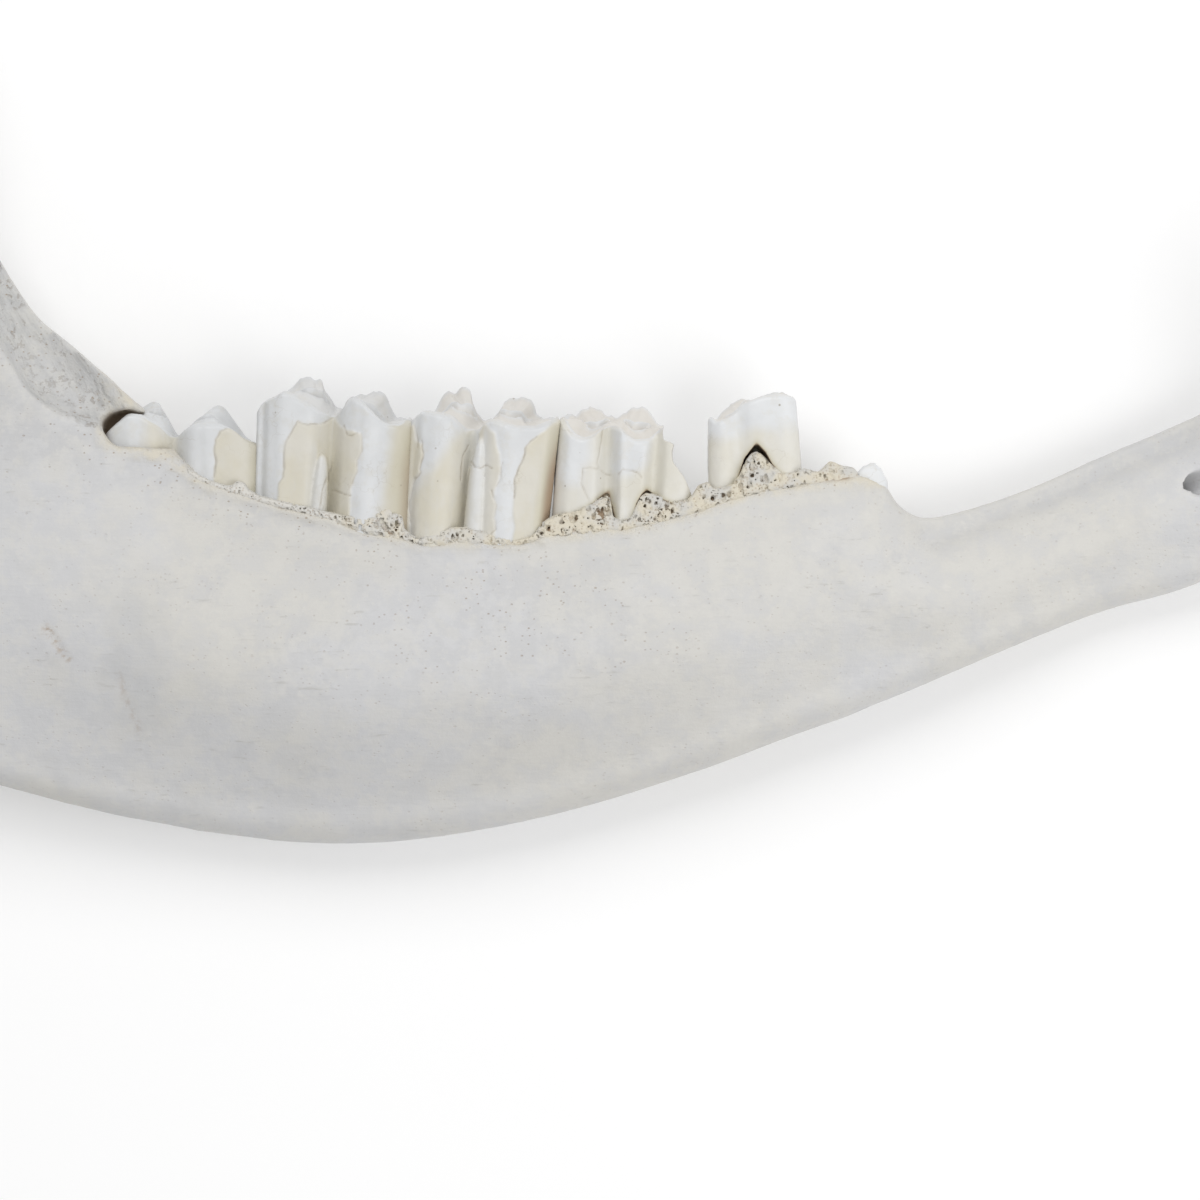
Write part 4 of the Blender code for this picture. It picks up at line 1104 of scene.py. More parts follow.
def rim_wall(name, collection, core):
    """The bone round the tooth row: its spongy outside, or the solid core that this stands on."""
    xs = np.arange(RIM[0][0], RIM[-1][0], RIM_STEP)
    tops = np.interp(xs, *np.transpose(RIM))
    rows = zip(xs, tops, read_curve(CORTEX_EDGE, xs), read_curve(RIM_FACE, xs))
    rings = []
    for x, top, edge, face in rows:
        lean = RIM_LEAN * max(top - edge, 0)
        inner = 2 * RIM_MIDDLE - face
        if core:
            top = max(top - CORE_DROP, edge + 0.6)
            cheek_side = (
                (edge - 6, face - 2), (edge - 0.9, face), (edge + 0.5, face - CORE_DROP),
                (top, face - CORE_DROP - lean),
            )
        else:
            top = max(top, edge + 0.9)
            cheek_side = (
                (edge - 2.5, face - 2.4), (edge - 0.6, face - 0.9), (edge + 0.35, face - 0.15),
                (top - 0.4, face - 0.15 - lean), (top, face - 0.9 - lean),
            )
        tongue_side = ((top, RIM_MIDDLE), (top - 2, inner + 2.5), (edge - 2.5, inner + 3))
        rings.append([(x, y, z) for y, z in (*cheek_side, *tongue_side)])
    return loft(name, rings, collection)


def bone_solid(home):
    """The whole bone without its teeth, smooth, as fine quads of one size."""
    additions, notch, hollows = (side_collection(n) for n in ("additions", "notch", "hollows"))
    bone = bone_plate(home)
    drum("notch", *NOTCH, notch)
    combine(bone, notch, "DIFFERENCE")
    condylar_process(additions)
    coronoid_process(additions)
    tube("crest_end", CREST_END, additions)
    rim_wall("rim_core", additions, True)
    combine(bone, additions, "UNION")
    for name, route in HOLLOWS.items():
        tube(name, route, hollows)
    slab("crypt", CRYPT, *CRYPT_DEPTH, hollows)
    slab("front_opening", FRONT_OPENING, *FRONT_OPENING_DEPTH, hollows)
    combine(bone, hollows, "DIFFERENCE")
    even_out(bone, bpy.context.scene.jaw_bone.voxel, SKIN_SMOOTHING)
    return bone


def bone_masks(points, normals):
    """Where the bone is open and spongy, rough at the rim, grey in the trough, scarred, or dark with
    painted shade.
    """
    x, y, z = points.T
    plan = points[:, :2]
    wander = rough_at(points, 3.0, 11)
    above = y - read_curve(CORTEX_EDGE, x)
    tooth_row = smoothstep((x + 101) / 4) * smoothstep((60 - x) / 3)
    cheek_or_top = smoothstep((z - 8.5) / 3)
    spongy = smoothstep((above - 0.2) / 0.9) * smoothstep((z - 14) / 3)
    spongy *= smoothstep((x + 54) / 6) * smoothstep((50.5 - x) / 1.5)
    rim = smoothstep((above + 2.2 + 0.8 * wander) / 2.2) * cheek_or_top * tooth_row
    crypt_edge = distance_to_route(plan, [*CRYPT, CRYPT[0]])
    rim = np.maximum(rim, bell(crypt_edge, 1.1) * smoothstep((z - 22) / 2))
    # Painted shade: the floor of the crypt beside the last molar is darkened deep down.
    hole = inside_outline(plan + 0.3 * wander[:, None], CRYPT, 1.2) * smoothstep((25 - z) / 3)
    trough = bell(distance_to_route(points, [p for p, _ in TROUGH]), 6.6)
    trough = smoothstep((trough - 0.22) / 0.3) * smoothstep((z - 12) / 6)
    cheek = smoothstep(normals[:, 2] / 0.5)
    broken = smoothstep(rough_at(points, 1.6, 15) + 0.75)
    nick = bell(distance_to_route(plan + 0.3 * wander[:, None], NICK), 0.5) * broken
    edge = bell(distance_to_route(plan, PATCH_EDGE), 0.5)
    patch = np.clip(1.3 - from_middle(x, y, *ROUGH_PATCH) + 0.35 * wander, 0, 1)
    speckled = smoothstep((above + 9 + 2.5 * wander) / 8) * smoothstep((-24 - x) / 12)
    # Painted shade: a darker patch over the middle of the cheek side.
    painted_middle_shade = 0.8 * bell(from_middle(x, y, *PAINTED_SHADE_PATCH) + 0.2 * wander, 1)
    return {
        "spongy": spongy,
        "rim": rim,
        "hole": hole,
        "trough": trough,
        "scar": np.maximum(nick, 0.4 * edge) * cheek,
        "patch": smoothstep(patch) * cheek,
        "row": smoothstep((above + 1.2) / 1.2),
        "speckled": np.maximum(speckled, painted_middle_shade) * cheek,
        "groove": bell(distance_to_route(plan, SIDE_GROOVE), 2.7) * cheek,
    }


def tooth_gap(points, teeth):
    """How far each point near the tooth row is from the nearest tooth."""
    gap = np.full(len(points), np.inf)
    x, y, _ = points.T
    near = np.flatnonzero((y > TOOTH_ROW_FLOOR) & (x > TOOTH_ROW[0]) & (x < TOOTH_ROW[1]))
    tree = BVHTree.FromPolygons(*teeth)
    for i in near:
        place = tree.find_nearest(points[i], GAP_REACH)
        if place[0] is not None:
            gap[i] = place[3]
    return gap


def bone_relief(points, masks, gap):
    """How far the surface stands out or sinks, in millimetres."""
    relief = 0.35 * noise_at(points, 26, 1) + 0.12 * noise_at(points, 8, 2)
    relief += 0.04 * rough_at(points, 2.6, 3)
    relief -= 1.5 * masks["groove"]
    relief -= 0.35 * masks["scar"]
    relief += masks["patch"] * (0.14 * rough_at(points, 3.2, 5) - 0.12)
    relief += 0.15 * masks["rim"] * rough_at(points, 2.2, 7)
    relief += 0.4 * masks["trough"] * rough_at(points, 3.4, 9) - 0.3 * (1 - masks["rim"])
    relief -= 0.7 * bell(gap, 0.7) * masks["row"]
    return relief


# Spongy bone


def spongy_tree():
    """A node tree that turns the outside of a solid into bone full of round cells."""
    tree = bpy.data.node_groups.new("Spongy bone", "GeometryNodeTree")
    tree.is_modifier = True
    sockets = {
        "Geometry": "Geometry", "Solid": "Object", "Pores": "Object", "Low corner": "Vector",
        "High corner": "Vector", "Voxel": "Float", "Cell size": "Float", "Cell width": "Float",
        "Depth": "Float", "Pore radius": "Float", "Material": "Material",
    }
    for name, kind in sockets.items():
        tree.interface.new_socket(name, in_out="INPUT", socket_type="NodeSocket" + kind)
    tree.interface.new_socket("Geometry", in_out="OUTPUT", socket_type="NodeSocketGeometry")
    n = Nodes(tree)
    given = n.add("NodeGroupInput").outputs
    solid, pores = (
        n.add("GeometryNodeObjectInfo", {"Object": given[name]}).outputs["Geometry"]
        for name in ("Solid", "Pores")
    )
    place = n.add("GeometryNodeInputPosition").outputs[0]
    nearest = n.add("GeometryNodeProximity", {0: solid}, target_element="FACES").outputs["Position"]
    inputs = {"Mesh": solid, "Value": n.add("GeometryNodeInputNormal").outputs[0]}
    normal = n.add("GeometryNodeSampleNearestSurface", inputs, data_type="FLOAT_VECTOR").outputs[0]
    above = n.vector("DOT_PRODUCT", n.vector("SUBTRACT", place, nearest), normal)
    below = n.times(above, -1.0)
    start, end = (height * MM for height in THINNING)
    thinning = n.fade(n.split(place)["Z"], start, end, 1.0, 0.0)
    filled = n.minus(below, n.times(thinning, given["Depth"]))
    crumble = n.times(n.noise(place, 900.0, 2.0), 0.3 * MM)
    filled = n.minus(filled, n.minus(crumble, 0.15 * MM))
    kept = n.smaller(filled, n.minus(given["Depth"], below))
    for stretch, shrink, narrower in CELL_LAYERS:
        cell = n.times(given["Cell size"], shrink)
        cells = n.cells(n.vector("MULTIPLY", place, stretch), n.over(1.0, cell))
        uneven = n.times(n.noise(place, 330.0, 2.0), 0.4)
        radius = n.minus(given["Cell width"], narrower + 0.2)
        gap = n.minus(cells["Distance"], n.plus(radius, uneven))
        kept = n.smaller(kept, n.times(gap, cell))
    hole = n.add("GeometryNodeProximity", {0: pores}, target_element="POINTS").outputs["Distance"]
    kept = n.smaller(kept, n.minus(hole, given["Pore radius"]))
    size = n.vector("SUBTRACT", given["High corner"], given["Low corner"])
    inputs = {
        "Density": n.plus(n.over(kept, MM), FULL), "Background": 0.0,
        "Min": given["Low corner"], "Max": given["High corner"],
    }
    for axis, span in zip("XYZ", n.split(size)):
        inputs["Resolution " + axis] = n.over(span, given["Voxel"])
    cube = n.add("GeometryNodeVolumeCube", inputs).outputs[0]
    surface = n.add("GeometryNodeVolumeToMesh", {"Volume": cube, "Threshold": FULL}).outputs[0]
    inputs = {"Geometry": surface, "Name": "depth", "Value": n.over(below, MM)}
    stored = n.add("GeometryNodeStoreNamedAttribute", inputs, data_type="FLOAT", domain="POINT")
    real = n.add("GeometryNodeRealizeInstances", {"Geometry": stored.outputs[0]}).outputs[0]
    inputs = {"Geometry": real, "Material": given["Material"]}
    n.add("NodeGroupOutput", {"Geometry": n.add("GeometryNodeSetMaterial", inputs).outputs[0]})
    return tree


def drop_crumbs(obj, least):
    """Deletes loose bits that have fewer points than the least."""
    mesh = obj.data
    edges = np.empty(len(mesh.edges) * 2, np.int32)
    mesh.edges.foreach_get("vertices", edges)
    first, second = edges.reshape(-1, 2).T
    label = np.arange(len(mesh.vertices))
    while True:
        before = label.copy()
        np.minimum.at(label, first, label[second])
        np.minimum.at(label, second, label[first])
        label = label[label]
        if np.array_equal(label, before):
            break
    counts = np.bincount(label, minlength=len(label))
    bm = bmesh.new()
    bm.from_mesh(mesh)
    bm.verts.ensure_lookup_table()
    crumbs = [bm.verts[i] for i in np.flatnonzero(counts[label] < least)]
    bmesh.ops.delete(bm, geom=crumbs, context="VERTS")
    bm.to_mesh(mesh)
    bm.free()


def grow(name, tree, values):
    """Runs a node tree on an empty mesh and keeps the plain mesh that comes out."""
    holder = new_object(name, bpy.data.meshes.new(name), bpy.context.scene.collection)
    modifier = holder.modifiers.new("grow", "NODES")
    modifier.node_group = tree
    for item in tree.interface.items_tree:
        if item.in_out == "INPUT" and item.name in values:
            modifier[item.identifier] = values[item.name]
    graph = bpy.context.evaluated_depsgraph_get()
    made = bpy.data.meshes.new_from_object(holder.evaluated_get(graph))
    holder.modifiers.remove(modifier)
    holder.data = made
    return holder


# The teeth


def tooth_place(spec, share, side, y, inset):
    """Points on a cheek tooth at shares of its length, on the cheek side (1) or tongue side (-1)."""
    rise, back, front = climb(spec, y)
    x = back + share * (front - back)
    half = half_depth(spec, share, side, x, rise)
    middle = (back + front) / 2
    x = middle + (x - middle) * (1 - CROWN_SHRINK * inset)
    return np.stack([x, y, spec["z"] + side * half * (1 - inset)], axis=1)


def crown_surface(spec, x, across):
    """The chewing surface: its height, how far each place is a ridge, and how far it is in a pit.

    Across runs from 1 at the cheek to -1 at the tongue."""
    cheek = read_curve(spec["cheek_rim"], x)
    tongue = read_curve(spec["tongue_rim"], x)
    level = np.clip((across + CREST) / (2 * CREST), 0, 1)
    beyond = np.clip((abs(across) - CREST) / (1 - CREST), 0, 1)
    height = tongue + (cheek - tongue) * level - RIM_ROUNDING * beyond**2
    ridge = bell(abs(across) - CREST, RIDGE_WIDTH)
    pit = np.zeros(len(x))
    for centre, half_length, depth in spec["pits"]:
        u = (x - centre) / half_length
        width = PIT_WIDTH * np.sqrt(np.clip(1 - u**4, 0, 1))
        off = abs(across - PIT_MIDDLE + PIT_BEND * u**2)
        inside = smoothstep((width - off) / (0.6 * PIT_WIDTH)) * (abs(u) < 1)
        pit = np.maximum(pit, inside)
        ridge = np.maximum(ridge, bell(off - width, 0.9 * RIDGE_WIDTH) * (abs(u) < 1.02))
        height -= depth * inside
    height += RIDGE_HEIGHT * (ridge - 1) * (1 - beyond)
    nicks = np.sin(2.9 * x + 1.3) + 0.7 * np.sin(6.1 * x) * np.sin(0.8 * x)
    height += NICK_DEPTH * nicks * smoothstep((0.2 - across) / 0.8) * (spec["wear"] > 0)
    return height, ridge, pit


def tooth_rings(spec):
    """Rings round the wall, then rings inward over the chewing surface."""
    turn = np.linspace(0, 1, WALL_COLUMNS + 1)
    shares = 0.4 * turn + 0.6 * (1 - np.cos(math.pi * turn)) / 2
    share = np.concatenate([shares, shares[::-1]])
    side = np.repeat([1.0, -1.0], len(shares))
    foot_y = spec["foot"][2]
    x = spec["top"][0] + share * (spec["top"][1] - spec["top"][0])
    rim = crown_surface(spec, x, side)[0]
    rings = []
    for row in range(WALL_ROWS):
        rings.append(tooth_place(spec, share, side, foot_y + row / WALL_ROWS * (rim - foot_y), 0))
    for row in range(CROWN_ROWS):
        inset = row / CROWN_ROWS
        height = crown_surface(spec, x, side * (1 - inset))[0]
        rings.append(tooth_place(spec, share, side, height, inset))
    return rings


def pillar(name, spec, collection, sides=24):
    """The small column that stands between a molar's two lobes, as an upright cone with a round tip."""
    (x0, y0), (x1, y1) = spec["foot"], spec["tip"]
    rings = []
    for rise, fullness in smooth_rows(PILLAR_OUTLINE, 4):
        x, y = x0 + (x1 - x0) * rise, y0 + (y1 - y0) * rise
        z = spec["z"][0] + (spec["z"][1] - spec["z"][0]) * rise
        across, deep = (fullness * half for half in spec["half"])
        rings.append([(x + across * c, y, z + deep * s) for c, s in around(sides)])
    loft(name, rings, collection)


def half_depth(spec, share, side, x, rise):
    """Half the thickness of a cheek tooth, with its valleys and ribs."""
    ends = (1 - abs(END_FLAT * (2 * share - 1)) ** END_SQUARENESS) ** (1 / END_SQUARENESS)
    half = (spec["width"][1] + (spec["width"][0] - spec["width"][1]) * rise) / 2
    for top_x, foot_x, depth, reach in spec["valleys"]:
        deep = np.where(side > 0, depth, depth * TONGUE_VALLEY)
        half = half * (1 - deep * bell(x - foot_x - (top_x - foot_x) * rise, reach))
    for top_x, foot_x, height, reach in spec["ribs"]:
        half = half + height * bell(x - foot_x - (top_x - foot_x) * rise, reach)
    return half * ends


def climb(spec, y):
    """How far up a cheek tooth a height is, with the x of its back and front there."""
    foot_back, foot_front, foot_y = spec["foot"]
    top_y = max(height for _, height in spec["tongue_rim"])
    rise = np.clip((y - foot_y) / (top_y - foot_y), 0, 1)
    back = foot_back + (spec["top"][0] - foot_back) * rise
    front = foot_front + (spec["top"][1] - foot_front) * rise
    return rise, back, front


def chewing_place(spec, points):
    """The x and the place across on the chewing surface that points of a cheek tooth came from."""
    x, y, z = points.T
    rise, back, front = climb(spec, y)
    middle = (back + front) / 2
    side = np.where(z > spec["z"], 1.0, -1.0)
    across = np.zeros(len(points))
    for _ in range(3):
        own = middle + (x - middle) / (1 - CROWN_SHRINK * (1 - abs(across)))
        share = np.clip((own - back) / (front - back), 0.001, 0.999)
        across = np.clip((z - spec["z"]) / half_depth(spec, share, side, own, rise), -1, 1)
    return spec["top"][0] + share * (spec["top"][1] - spec["top"][0]), across


def tooth_masks(spec, points, normals):
    """Where a cheek tooth has cement, cracks, stains, painted shade in its valleys and front gap, and
    worn dentine.
    """
    x, y, z = points.T
    wander = np.stack([rough_at(points, 2.4, 21), rough_at(points, 2.4, 25)], axis=1)
    plan = points[:, :2] + 0.35 * wander
    rise, _, front = climb(spec, y)
    cheek = smoothstep((z - spec["z"]) / 1.5)
    if "enamel" in spec:
        white = np.maximum.reduce([inside_outline(plan, o, ENAMEL_EDGE) for o in spec["enamel"]])
        cement = ROOT_CREAM - ROOT_CREAM * white
    else:
        areas = [inside_outline(plan, o, CEMENT_EDGE) for o in spec["cement"]]
        areas += [inside_outline(plan, o, CREAM_EDGE) for o in spec["cream"]]
        cement = np.maximum.reduce(areas)
    tongue_side = smoothstep((0.5 - rise) / 0.2 + 0.5 * rough_at(points, 6, 27))
    cement = cement * cheek + tongue_side * (1 - cheek)
    crack = np.zeros(len(points))
    for route in spec["cracks"]:
        crack = np.maximum(crack, bell(distance_to_route(plan, route), CRACK_WIDTH))
    crack *= smoothstep((normals[:, 2] - 0.05) / 0.3) * cheek
    crack *= 0.55 + 0.45 * smoothstep(rough_at(points, 1.5, 28) + 0.6)
    # The front end: stain, and painted shade in the gap beside the next tooth.
    strength, reach = spec["stain_and_shade"]
    stain_and_shade = strength * smoothstep((x - front + reach) / reach) * smoothstep((1.02 - rise) / 0.6)
    # Painted shade down each valley.
    for top_x, foot_x, depth, reach in spec["valleys"]:
        line = x - foot_x - (top_x - foot_x) * rise
        stain_and_shade = np.maximum(stain_and_shade, 0.5 * depth * bell(line, 0.55 * reach) * smoothstep(rise / 0.5))
    if "pillar" in spec:
        post = spec["pillar"]
        on_post = bell(distance_to_route(points[:, :2], (post["foot"], post["tip"])), 2.0)
        on_post *= smoothstep((z - post["z"][1] - 0.4) / 0.8)
        cement *= 1 - 0.75 * on_post
        stain_and_shade *= 1 - on_post
    stain_and_shade = np.maximum(stain_and_shade * cheek, 0.3 * (1 - cheek) * smoothstep(rough_at(points, 4, 29)))
    # Darker along the edges of the openings between bared roots.
    for outline in spec.get("arches", ()):
        edge = distance_to_route(points[:, :2], [*outline, outline[0]])
        high = smoothstep((y - spec["foot"][2] - 4) / 3)
        stain_and_shade = np.maximum(stain_and_shade, high * (0.5 * bell(edge, 1.1) + 0.4 * bell(edge, 0.3)))
    own_x, across = chewing_place(spec, points)
    ridge, pit = crown_surface(spec, own_x, across)[1:]
    crown = smoothstep((0.95 - abs(across)) / 0.06) * smoothstep((rise - 0.55) / 0.15)
    worn = spec["wear"] * crown * (1 - 0.9 * ridge)
    stain_and_shade = np.maximum(stain_and_shade * (1 - crown), crown * 0.4 * pit * smoothstep(noise_at(points, 1.5, 30)))
    return {"cement": cement * (1 - crown), "crack": crack, "stain_and_shade": stain_and_shade, "worn": worn}


def cheek_tooth(name, spec, home):
    """One cheek tooth in quads, its roots bared and its edge broken if it has such; refine_tooth() cracks
    it.
    """
    tooth = loft(name, tooth_rings(spec), home, ladder_caps=True)
    cuts = side_collection("cuts")
    for outline in spec.get("arches", ()):
        floor = spec["z"] + spec.get("arch_floor", ARCH_FLOOR)
        slab("arch", outline, floor, floor + ARCH_DEPTH, cuts)
    for outline in spec.get("breaks", ()):
        slab("break", outline, spec["z"] - BREAK_HALF_DEPTH, spec["z"] + BREAK_HALF_DEPTH, cuts)
    if cuts.objects:
        combine(tooth, cuts, "DIFFERENCE")
    if "pillar" in spec:
        joins = side_collection("joins")
        pillar("pillar", spec["pillar"], joins)
        combine(tooth, joins, "UNION")
    return tooth


def refine_tooth(tooth, spec, settings):
    """Fine quads of one size, softened edges, and the relief of cement and cracks."""
    even_out(tooth, settings.voxel, 3)
    points, normals = points_of(tooth), normals_of(tooth)
    masks = tooth_masks(spec, points, normals)
    layer = -CEMENT_LAYER if "enamel" in spec else CEMENT_LAYER
    relief = layer * masks["cement"] - settings.crack_depth / MM * masks["crack"]
    relief += 0.05 * rough_at(points, 1.6, 31) + 0.1 * noise_at(points, 6, 33)
    move_points(tooth, points + normals * relief[:, None])
    paint(tooth, masks)


def front_tooth(name, spec, collection, sides=40):
    """A spade-shaped front tooth: a round root that flattens and widens to a thin edge."""
    half, length, root = spec["width"] / 2, spec["length"], spec["root"]
    # How far along the tooth, half width, half thickness and how far it is bowed to the tongue.
    profile = (
        (-ROOT_LENGTH, root * 0.7, root * 0.7, 0.0),
        (-ROOT_LENGTH * 0.5, root * 0.9, root * 0.95, 0.0),
        (0.0, root, root * 1.05, 0.0),
        (length * 0.22, root * 1.2, root * 0.95, 0.1),
        (length * 0.5, half * 0.82, root * 0.72, 0.5),
        (length * 0.78, half * 0.98, root * 0.46, 1.2),
        (length * 0.95, half * 0.96, root * 0.26, 1.9),
        (length, half * 0.88, root * 0.16, 2.1),
    )
    yaw = math.radians(MIDDLE_LINE_YAW)
    forward = Vector((math.cos(yaw), 0, math.sin(yaw)))
    outward = Vector((-math.sin(yaw), 0, math.cos(yaw)))
    fan, pitch = math.radians(spec["fan"]), math.radians(spec["pitch"])
    level = math.cos(fan) * forward + math.sin(fan) * outward
    side = math.cos(fan) * outward - math.sin(fan) * forward
    axis = math.cos(pitch) * level + math.sin(pitch) * Vector((0, 1, 0))
    back = (math.cos(pitch) * Vector((0, 1, 0)) - math.sin(pitch) * level).normalized()
    start = Vector((MIDDLE_LINE_START[0], spec["y"], MIDDLE_LINE_START[1]))
    start = start + spec["forward"] * forward + spec["out"] * outward
    rings = []
    for along, half_width, half_thick, bow in smooth_rows(profile, 8):
        ring = []
        for c, s in around(sides):
            across = half_width * c
            hollow = bow * 0.5 * (across / half) ** 2
            depth = half_thick * s + bow + hollow
            ring.append(start + axis * along + side * across + back * depth)
        rings.append(ring)
    tooth = loft(name, rings, collection)
    points = points_of(tooth)
    along = (points - np.array(start)) @ np.array(axis)
    paint(tooth, {
        "cement": smoothstep((length * 0.3 - along + rough_at(points, 3, 41)) / 2.0),
        "crack": np.zeros(len(points)),
        "stain_and_shade": 0.35 * bell(along - length * 0.2, 1.2),
        "worn": 0.8 * smoothstep((along - length * 0.97) / (length * 0.03)),
    })
    return tooth


# Settings, one operator for each group of pieces, and the panel


def colour_setting(name, about, default):
    return FloatVectorProperty(name=name, description=about, subtype="COLOR", default=default)


def length_setting(name, about, millimetres):
    return FloatProperty(
        name=name, description=about, default=millimetres * MM, unit="LENGTH", precision=5
    )


def number_setting(name, about, default, unit="NONE"):
    return FloatProperty(name=name, description=about, default=default, unit=unit)


class JawColours(bpy.types.PropertyGroup):
    """Colours of the bone and the teeth."""

    bone_cool: colour_setting("Cool bone", "Paler, greyer bone", (0.582, 0.583, 0.59))
    bone_warm: colour_setting("Warm bone", "Slightly yellower bone", (0.592, 0.58, 0.548))
    spongy: colour_setting("Spongy bone", "Open bone at the tooth row", (0.66, 0.61, 0.5))
    trough: colour_setting("Trough", "Grey bone behind the last tooth", (0.47, 0.472, 0.468))
    # Brown of stains, also used as painted shade down in cells, in the crypt and in gaps between teeth.
    stain_and_shade: colour_setting("Stain", "Brown down in cells and gaps", (0.36, 0.265, 0.18))
    enamel: colour_setting("Enamel", "White of the teeth", (0.695, 0.706, 0.715))
    cement: colour_setting("Cement", "Cream layer over the enamel", (0.665, 0.64, 0.572))
    cement_dark: colour_setting("Old cement", "Yellower cement", (0.64, 0.606, 0.508))
    # Light stain on a tooth, also used as painted shade in its valleys and at its front gap.
    yellowed_and_shaded: colour_setting("Yellowed tooth", "Where a tooth is stained lightly", (0.52, 0.485, 0.37))
    dentine: colour_setting("Dentine", "Worn chewing surface", (0.68, 0.63, 0.555))
    crack: colour_setting("Cracks", "Dirt in the cracks", (0.37, 0.32, 0.24))


class JawBone(bpy.types.PropertyGroup):
    """Sizes of the bone's own surface and of its open cells."""

    voxel: length_setting("Skin detail", "Side of the bone's quads", 0.95)
    cell: length_setting("Cell size", "Usual spacing of the spongy bone's cells", 1.1)
    cell_width: number_setting("Cell width", "Widens or narrows all the cells", 1.0)
    spongy_depth: length_setting("Spongy depth", "How far in the cells go", 1.8)
    spongy_voxel: length_setting("Spongy detail", "Side of the spongy bone's smallest features", 0.22)


class JawTeeth(bpy.types.PropertyGroup):
    """Sizes of the teeth's detail."""

    voxel: length_setting("Tooth detail", "Side of a tooth's quads", 0.26)
    crack_depth: length_setting("Crack depth", "How far the cracks sink", 0.14)


class JawStage(bpy.types.PropertyGroup):
    """The picture: camera, light and floor."""

    distance: number_setting("Camera distance", "From the cheek side's middle height", 1.2, "LENGTH")
    view_width: number_setting("View width", "Width seen at that distance", 0.24, "LENGTH")
    sky: number_setting("Sky strength", "Light from all round", 0.5)
    floor_glow: number_setting("Floor glow", "How much a lit table lifts the shadows on it", 0.16)
    key_power: number_setting("Main light", "Power of the large soft light", 7.5, "POWER")
    fill_power: number_setting("Second light", "Power of the light across from it", 6.0, "POWER")
    floor: colour_setting("Floor", "Floor colour", (0.82, 0.82, 0.82))


def pore_points():
    """Points down the middle of each larger hole in the rim, which the holes are opened round."""
    steps = np.arange(-1, 1.01, PORE_STEP)
    points = []
    for x, y, half_width, half_height in LARGE_PORES:
        face = float(read_curve(RIM_FACE, [x])[0])
        lean = RIM_LEAN * max(y - float(read_curve(CORTEX_EDGE, [x])[0]), 0)
        for dx, dy in itertools.product(steps, steps):
            across, up = dx / (half_width - PORE_ROUNDING), dy / (half_height - PORE_ROUNDING)
            if math.hypot(across, up) <= 1:
                points += [(x + dx, y + dy, face - lean - deep) for deep in PORE_DEPTHS]
    return points


def finished_surface(names):
    """Points in the view frame and faces of several finished pieces as one."""
    back = np.array(resting().inverted())
    points, faces, count = [], [], 0
    for name in names:
        mesh = bpy.data.objects[name].data
        corners = np.empty(len(mesh.loops), np.int32)
        mesh.loops.foreach_get("vertex_index", corners)
        starts = np.empty(len(mesh.polygons), np.int32)
        mesh.polygons.foreach_get("loop_start", starts)
        faces += [part.tolist() for part in np.split(corners + count, starts[1:])]
        placed = points_of(bpy.data.objects[name]) * MM @ back[:3, :3].T + back[:3, 3]
        points.append(placed / MM)
        count += len(placed)
    return np.concatenate(points).tolist(), faces


class JAW_OT_teeth(bpy.types.Operator):
    """Make the cheek teeth with their cement, cracks, pits and bared roots"""

    bl_idname = "jaw.teeth"
    bl_label = "Cheek Teeth"

    def execute(self, context):
        settings = context.scene.jaw_teeth
        material = tooth_material(context.scene.jaw_colours)
        home = side_collection("cheek_teeth")
        for name, spec in CHEEK_TEETH.items():
            tooth = cheek_tooth(name, spec, home)
            refine_tooth(tooth, spec, settings)
            finish_piece(tooth, material)
        return {"FINISHED"}


class JAW_OT_front_teeth(bpy.types.Operator):
    """Make the three incisors and the canine beside them"""

    bl_idname = "jaw.front_teeth"
    bl_label = "Front Teeth"

    def execute(self, context):
        material = bpy.data.materials["tooth"]
        home = side_collection("front_teeth")
        for name, spec in FRONT_TEETH.items():
            finish_piece(front_tooth(name, spec, home), material)
        return {"FINISHED"}


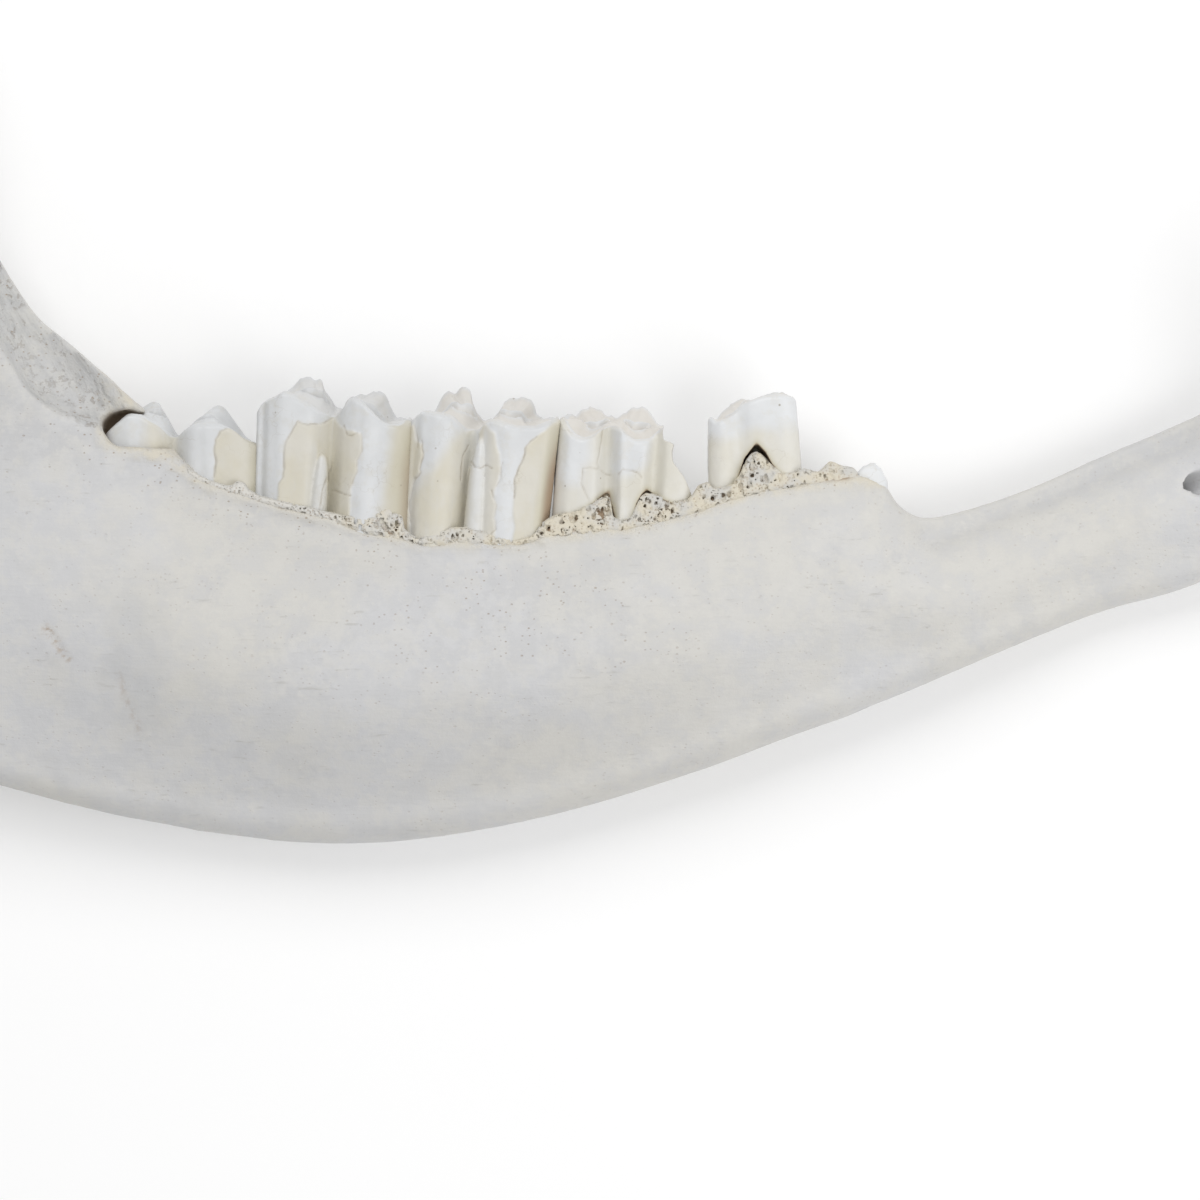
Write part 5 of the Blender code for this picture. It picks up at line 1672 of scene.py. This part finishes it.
class JAW_OT_bone(bpy.types.Operator):
    """Make the bone's skin, and the spongy bone in its open stretches"""

    bl_idname = "jaw.bone"
    bl_label = "Bone"

    def execute(self, context):
        settings = context.scene.jaw_bone
        colours = context.scene.jaw_colours
        home = side_collection("bone")
        bone = bone_solid(home)
        gap = tooth_gap(points_of(bone), finished_surface(CHEEK_TEETH))
        points, normals = points_of(bone), normals_of(bone)
        masks = bone_masks(points, normals)
        move_points(bone, points + normals * bone_relief(points, masks, gap)[:, None])
        paint(bone, masks)
        finish_piece(bone, bone_material(colours))
        self.fill(home, settings, spongy_material(colours))
        return {"FINISHED"}

    def fill(self, home, settings, material):
        """Grows the spongy bone of the rim, one stretch after another."""
        solid = rim_wall("rim", home, False)
        even_out(solid, RIM_VOXEL * MM, 1)
        points, normals = points_of(solid), normals_of(solid)
        move_points(solid, points + normals * (RIM_WAVES * rough_at(points, 2.2, 51))[:, None])
        pores = new_object("pores", bpy.data.meshes.new("pores"), home)
        pores.data.from_pydata([Vector(p) * MM for p in pore_points()], [], [])
        tree = spongy_tree()
        inner, outer = SPONGY_REACH
        for index, (start, end, cell, width) in enumerate(RIM_STRETCHES):
            here = np.arange(start, end, RIM_STEP)
            low = float(read_curve(CORTEX_EDGE, here).min()) - 1.6
            high = float(np.interp(here, *np.transpose(RIM)).max()) + 1
            values = {
                "Solid": solid, "Pores": pores, "Low corner": Vector((start, low, inner)) * MM,
                "High corner": Vector((end + 0.2, high, outer)) * MM, "Voxel": settings.spongy_voxel,
                "Cell size": cell * settings.cell, "Cell width": width * settings.cell_width,
                "Depth": settings.spongy_depth, "Pore radius": PORE_ROUNDING * MM,
                "Material": material,
            }
            piece = grow(f"spongy_bone_{index + 1}", tree, values)
            drop_crumbs(piece, CRUMB_POINTS)
            finish_piece(piece, material)
        for helper in (solid, pores):
            bpy.data.objects.remove(helper)


class JAW_OT_stage(bpy.types.Operator):
    """Set up the floor, the lights and the camera"""

    bl_idname = "jaw.stage"
    bl_label = "Stage"

    def execute(self, context):
        settings = context.scene.jaw_stage
        self.floor(settings)
        self.lights(settings)
        self.camera(settings)
        context.scene.view_settings.view_transform = "Standard"
        return {"FINISHED"}

    def floor(self, settings):
        mesh = bpy.data.meshes.new("floor")
        sides = ((-1, -1), (1, -1), (1, 1), (-1, 1))
        corners = [(x * FLOOR_HALF, y * FLOOR_HALF, -FLOOR_DROP) for x, y in sides]
        mesh.from_pydata(corners, [], [(0, 1, 2, 3)])
        floor = new_object("floor", mesh, bpy.context.scene.collection)
        material, n, shader, place = new_material("floor", 0.9)
        patch = n.fade(n.noise(place, 3.0, 2), 0.3, 0.7)
        colour = n.blend(patch, rgba(settings.floor), rgba(settings.floor, 0.99))
        n.tree.links.new(colour, shader.inputs["Base Color"])
        shader.inputs["Emission Color"].default_value = (1, 1, 1, 1)
        shader.inputs["Emission Strength"].default_value = settings.floor_glow
        mesh.materials.append(material)

    def lights(self, settings):
        world = bpy.context.scene.world or bpy.data.worlds.new("sky")
        bpy.context.scene.world = world
        world.use_nodes = True
        sky = world.node_tree.nodes["Background"]
        sky.inputs["Color"].default_value = (1, 1, 1, 1)
        sky.inputs["Strength"].default_value = settings.sky
        places = (
            ("main_light", (-0.2, 0.75, 1.0), settings.key_power),
            ("second_light", (0.75, -0.45, 0.85), settings.fill_power),
        )
        for name, place, power in places:
            lamp = bpy.data.lights.new(name, "AREA")
            lamp.energy = power
            lamp.size = LAMP_SIZE
            obj = new_object(name, lamp, bpy.context.scene.collection)
            obj.location = place
            obj.rotation_euler = (-Vector(place)).to_track_quat("-Z", "Y").to_euler()

    def camera(self, settings):
        lens = bpy.data.cameras.new("camera")
        lens.sensor_width = 36
        lens.lens = lens.sensor_width * settings.distance / settings.view_width
        lens.clip_end = 10
        camera = new_object("camera", lens, bpy.context.scene.collection)
        camera.matrix_world = resting() @ Matrix.Translation((0, 0, CHEEK_HEIGHT + settings.distance))
        bpy.context.scene.camera = camera


class JAW_PT_panel(bpy.types.Panel):
    """Lists the jaw's pieces and their sizes."""

    bl_label = "Bison Jawbone"
    bl_idname = "JAW_PT_panel"
    bl_space_type = "VIEW_3D"
    bl_region_type = "UI"
    bl_category = "Jawbone"

    def draw(self, context):
        layout = self.layout
        for operator in OPERATORS:
            layout.operator(operator.bl_idname)
        for group in (context.scene.jaw_bone, context.scene.jaw_teeth, context.scene.jaw_stage):
            box = layout.box()
            for key in group.bl_rna.properties.keys():
                if key not in ("name", "rna_type"):
                    box.prop(group, key)


OPERATORS = (JAW_OT_teeth, JAW_OT_front_teeth, JAW_OT_bone, JAW_OT_stage)
SETTINGS = {
    "jaw_colours": JawColours, "jaw_bone": JawBone, "jaw_teeth": JawTeeth, "jaw_stage": JawStage,
}
CLASSES = (*SETTINGS.values(), *OPERATORS, JAW_PT_panel)


def register():
    for cls in CLASSES:
        bpy.utils.register_class(cls)
    for key, group in SETTINGS.items():
        setattr(bpy.types.Scene, key, PointerProperty(type=group))


def unregister():
    for key in SETTINGS:
        delattr(bpy.types.Scene, key)
    for cls in reversed(CLASSES):
        bpy.utils.unregister_class(cls)


def main():
    register()
    bpy.ops.jaw.teeth()
    bpy.ops.jaw.front_teeth()
    bpy.ops.jaw.bone()
    bpy.ops.jaw.stage()


if __name__ == "__main__":
    main()
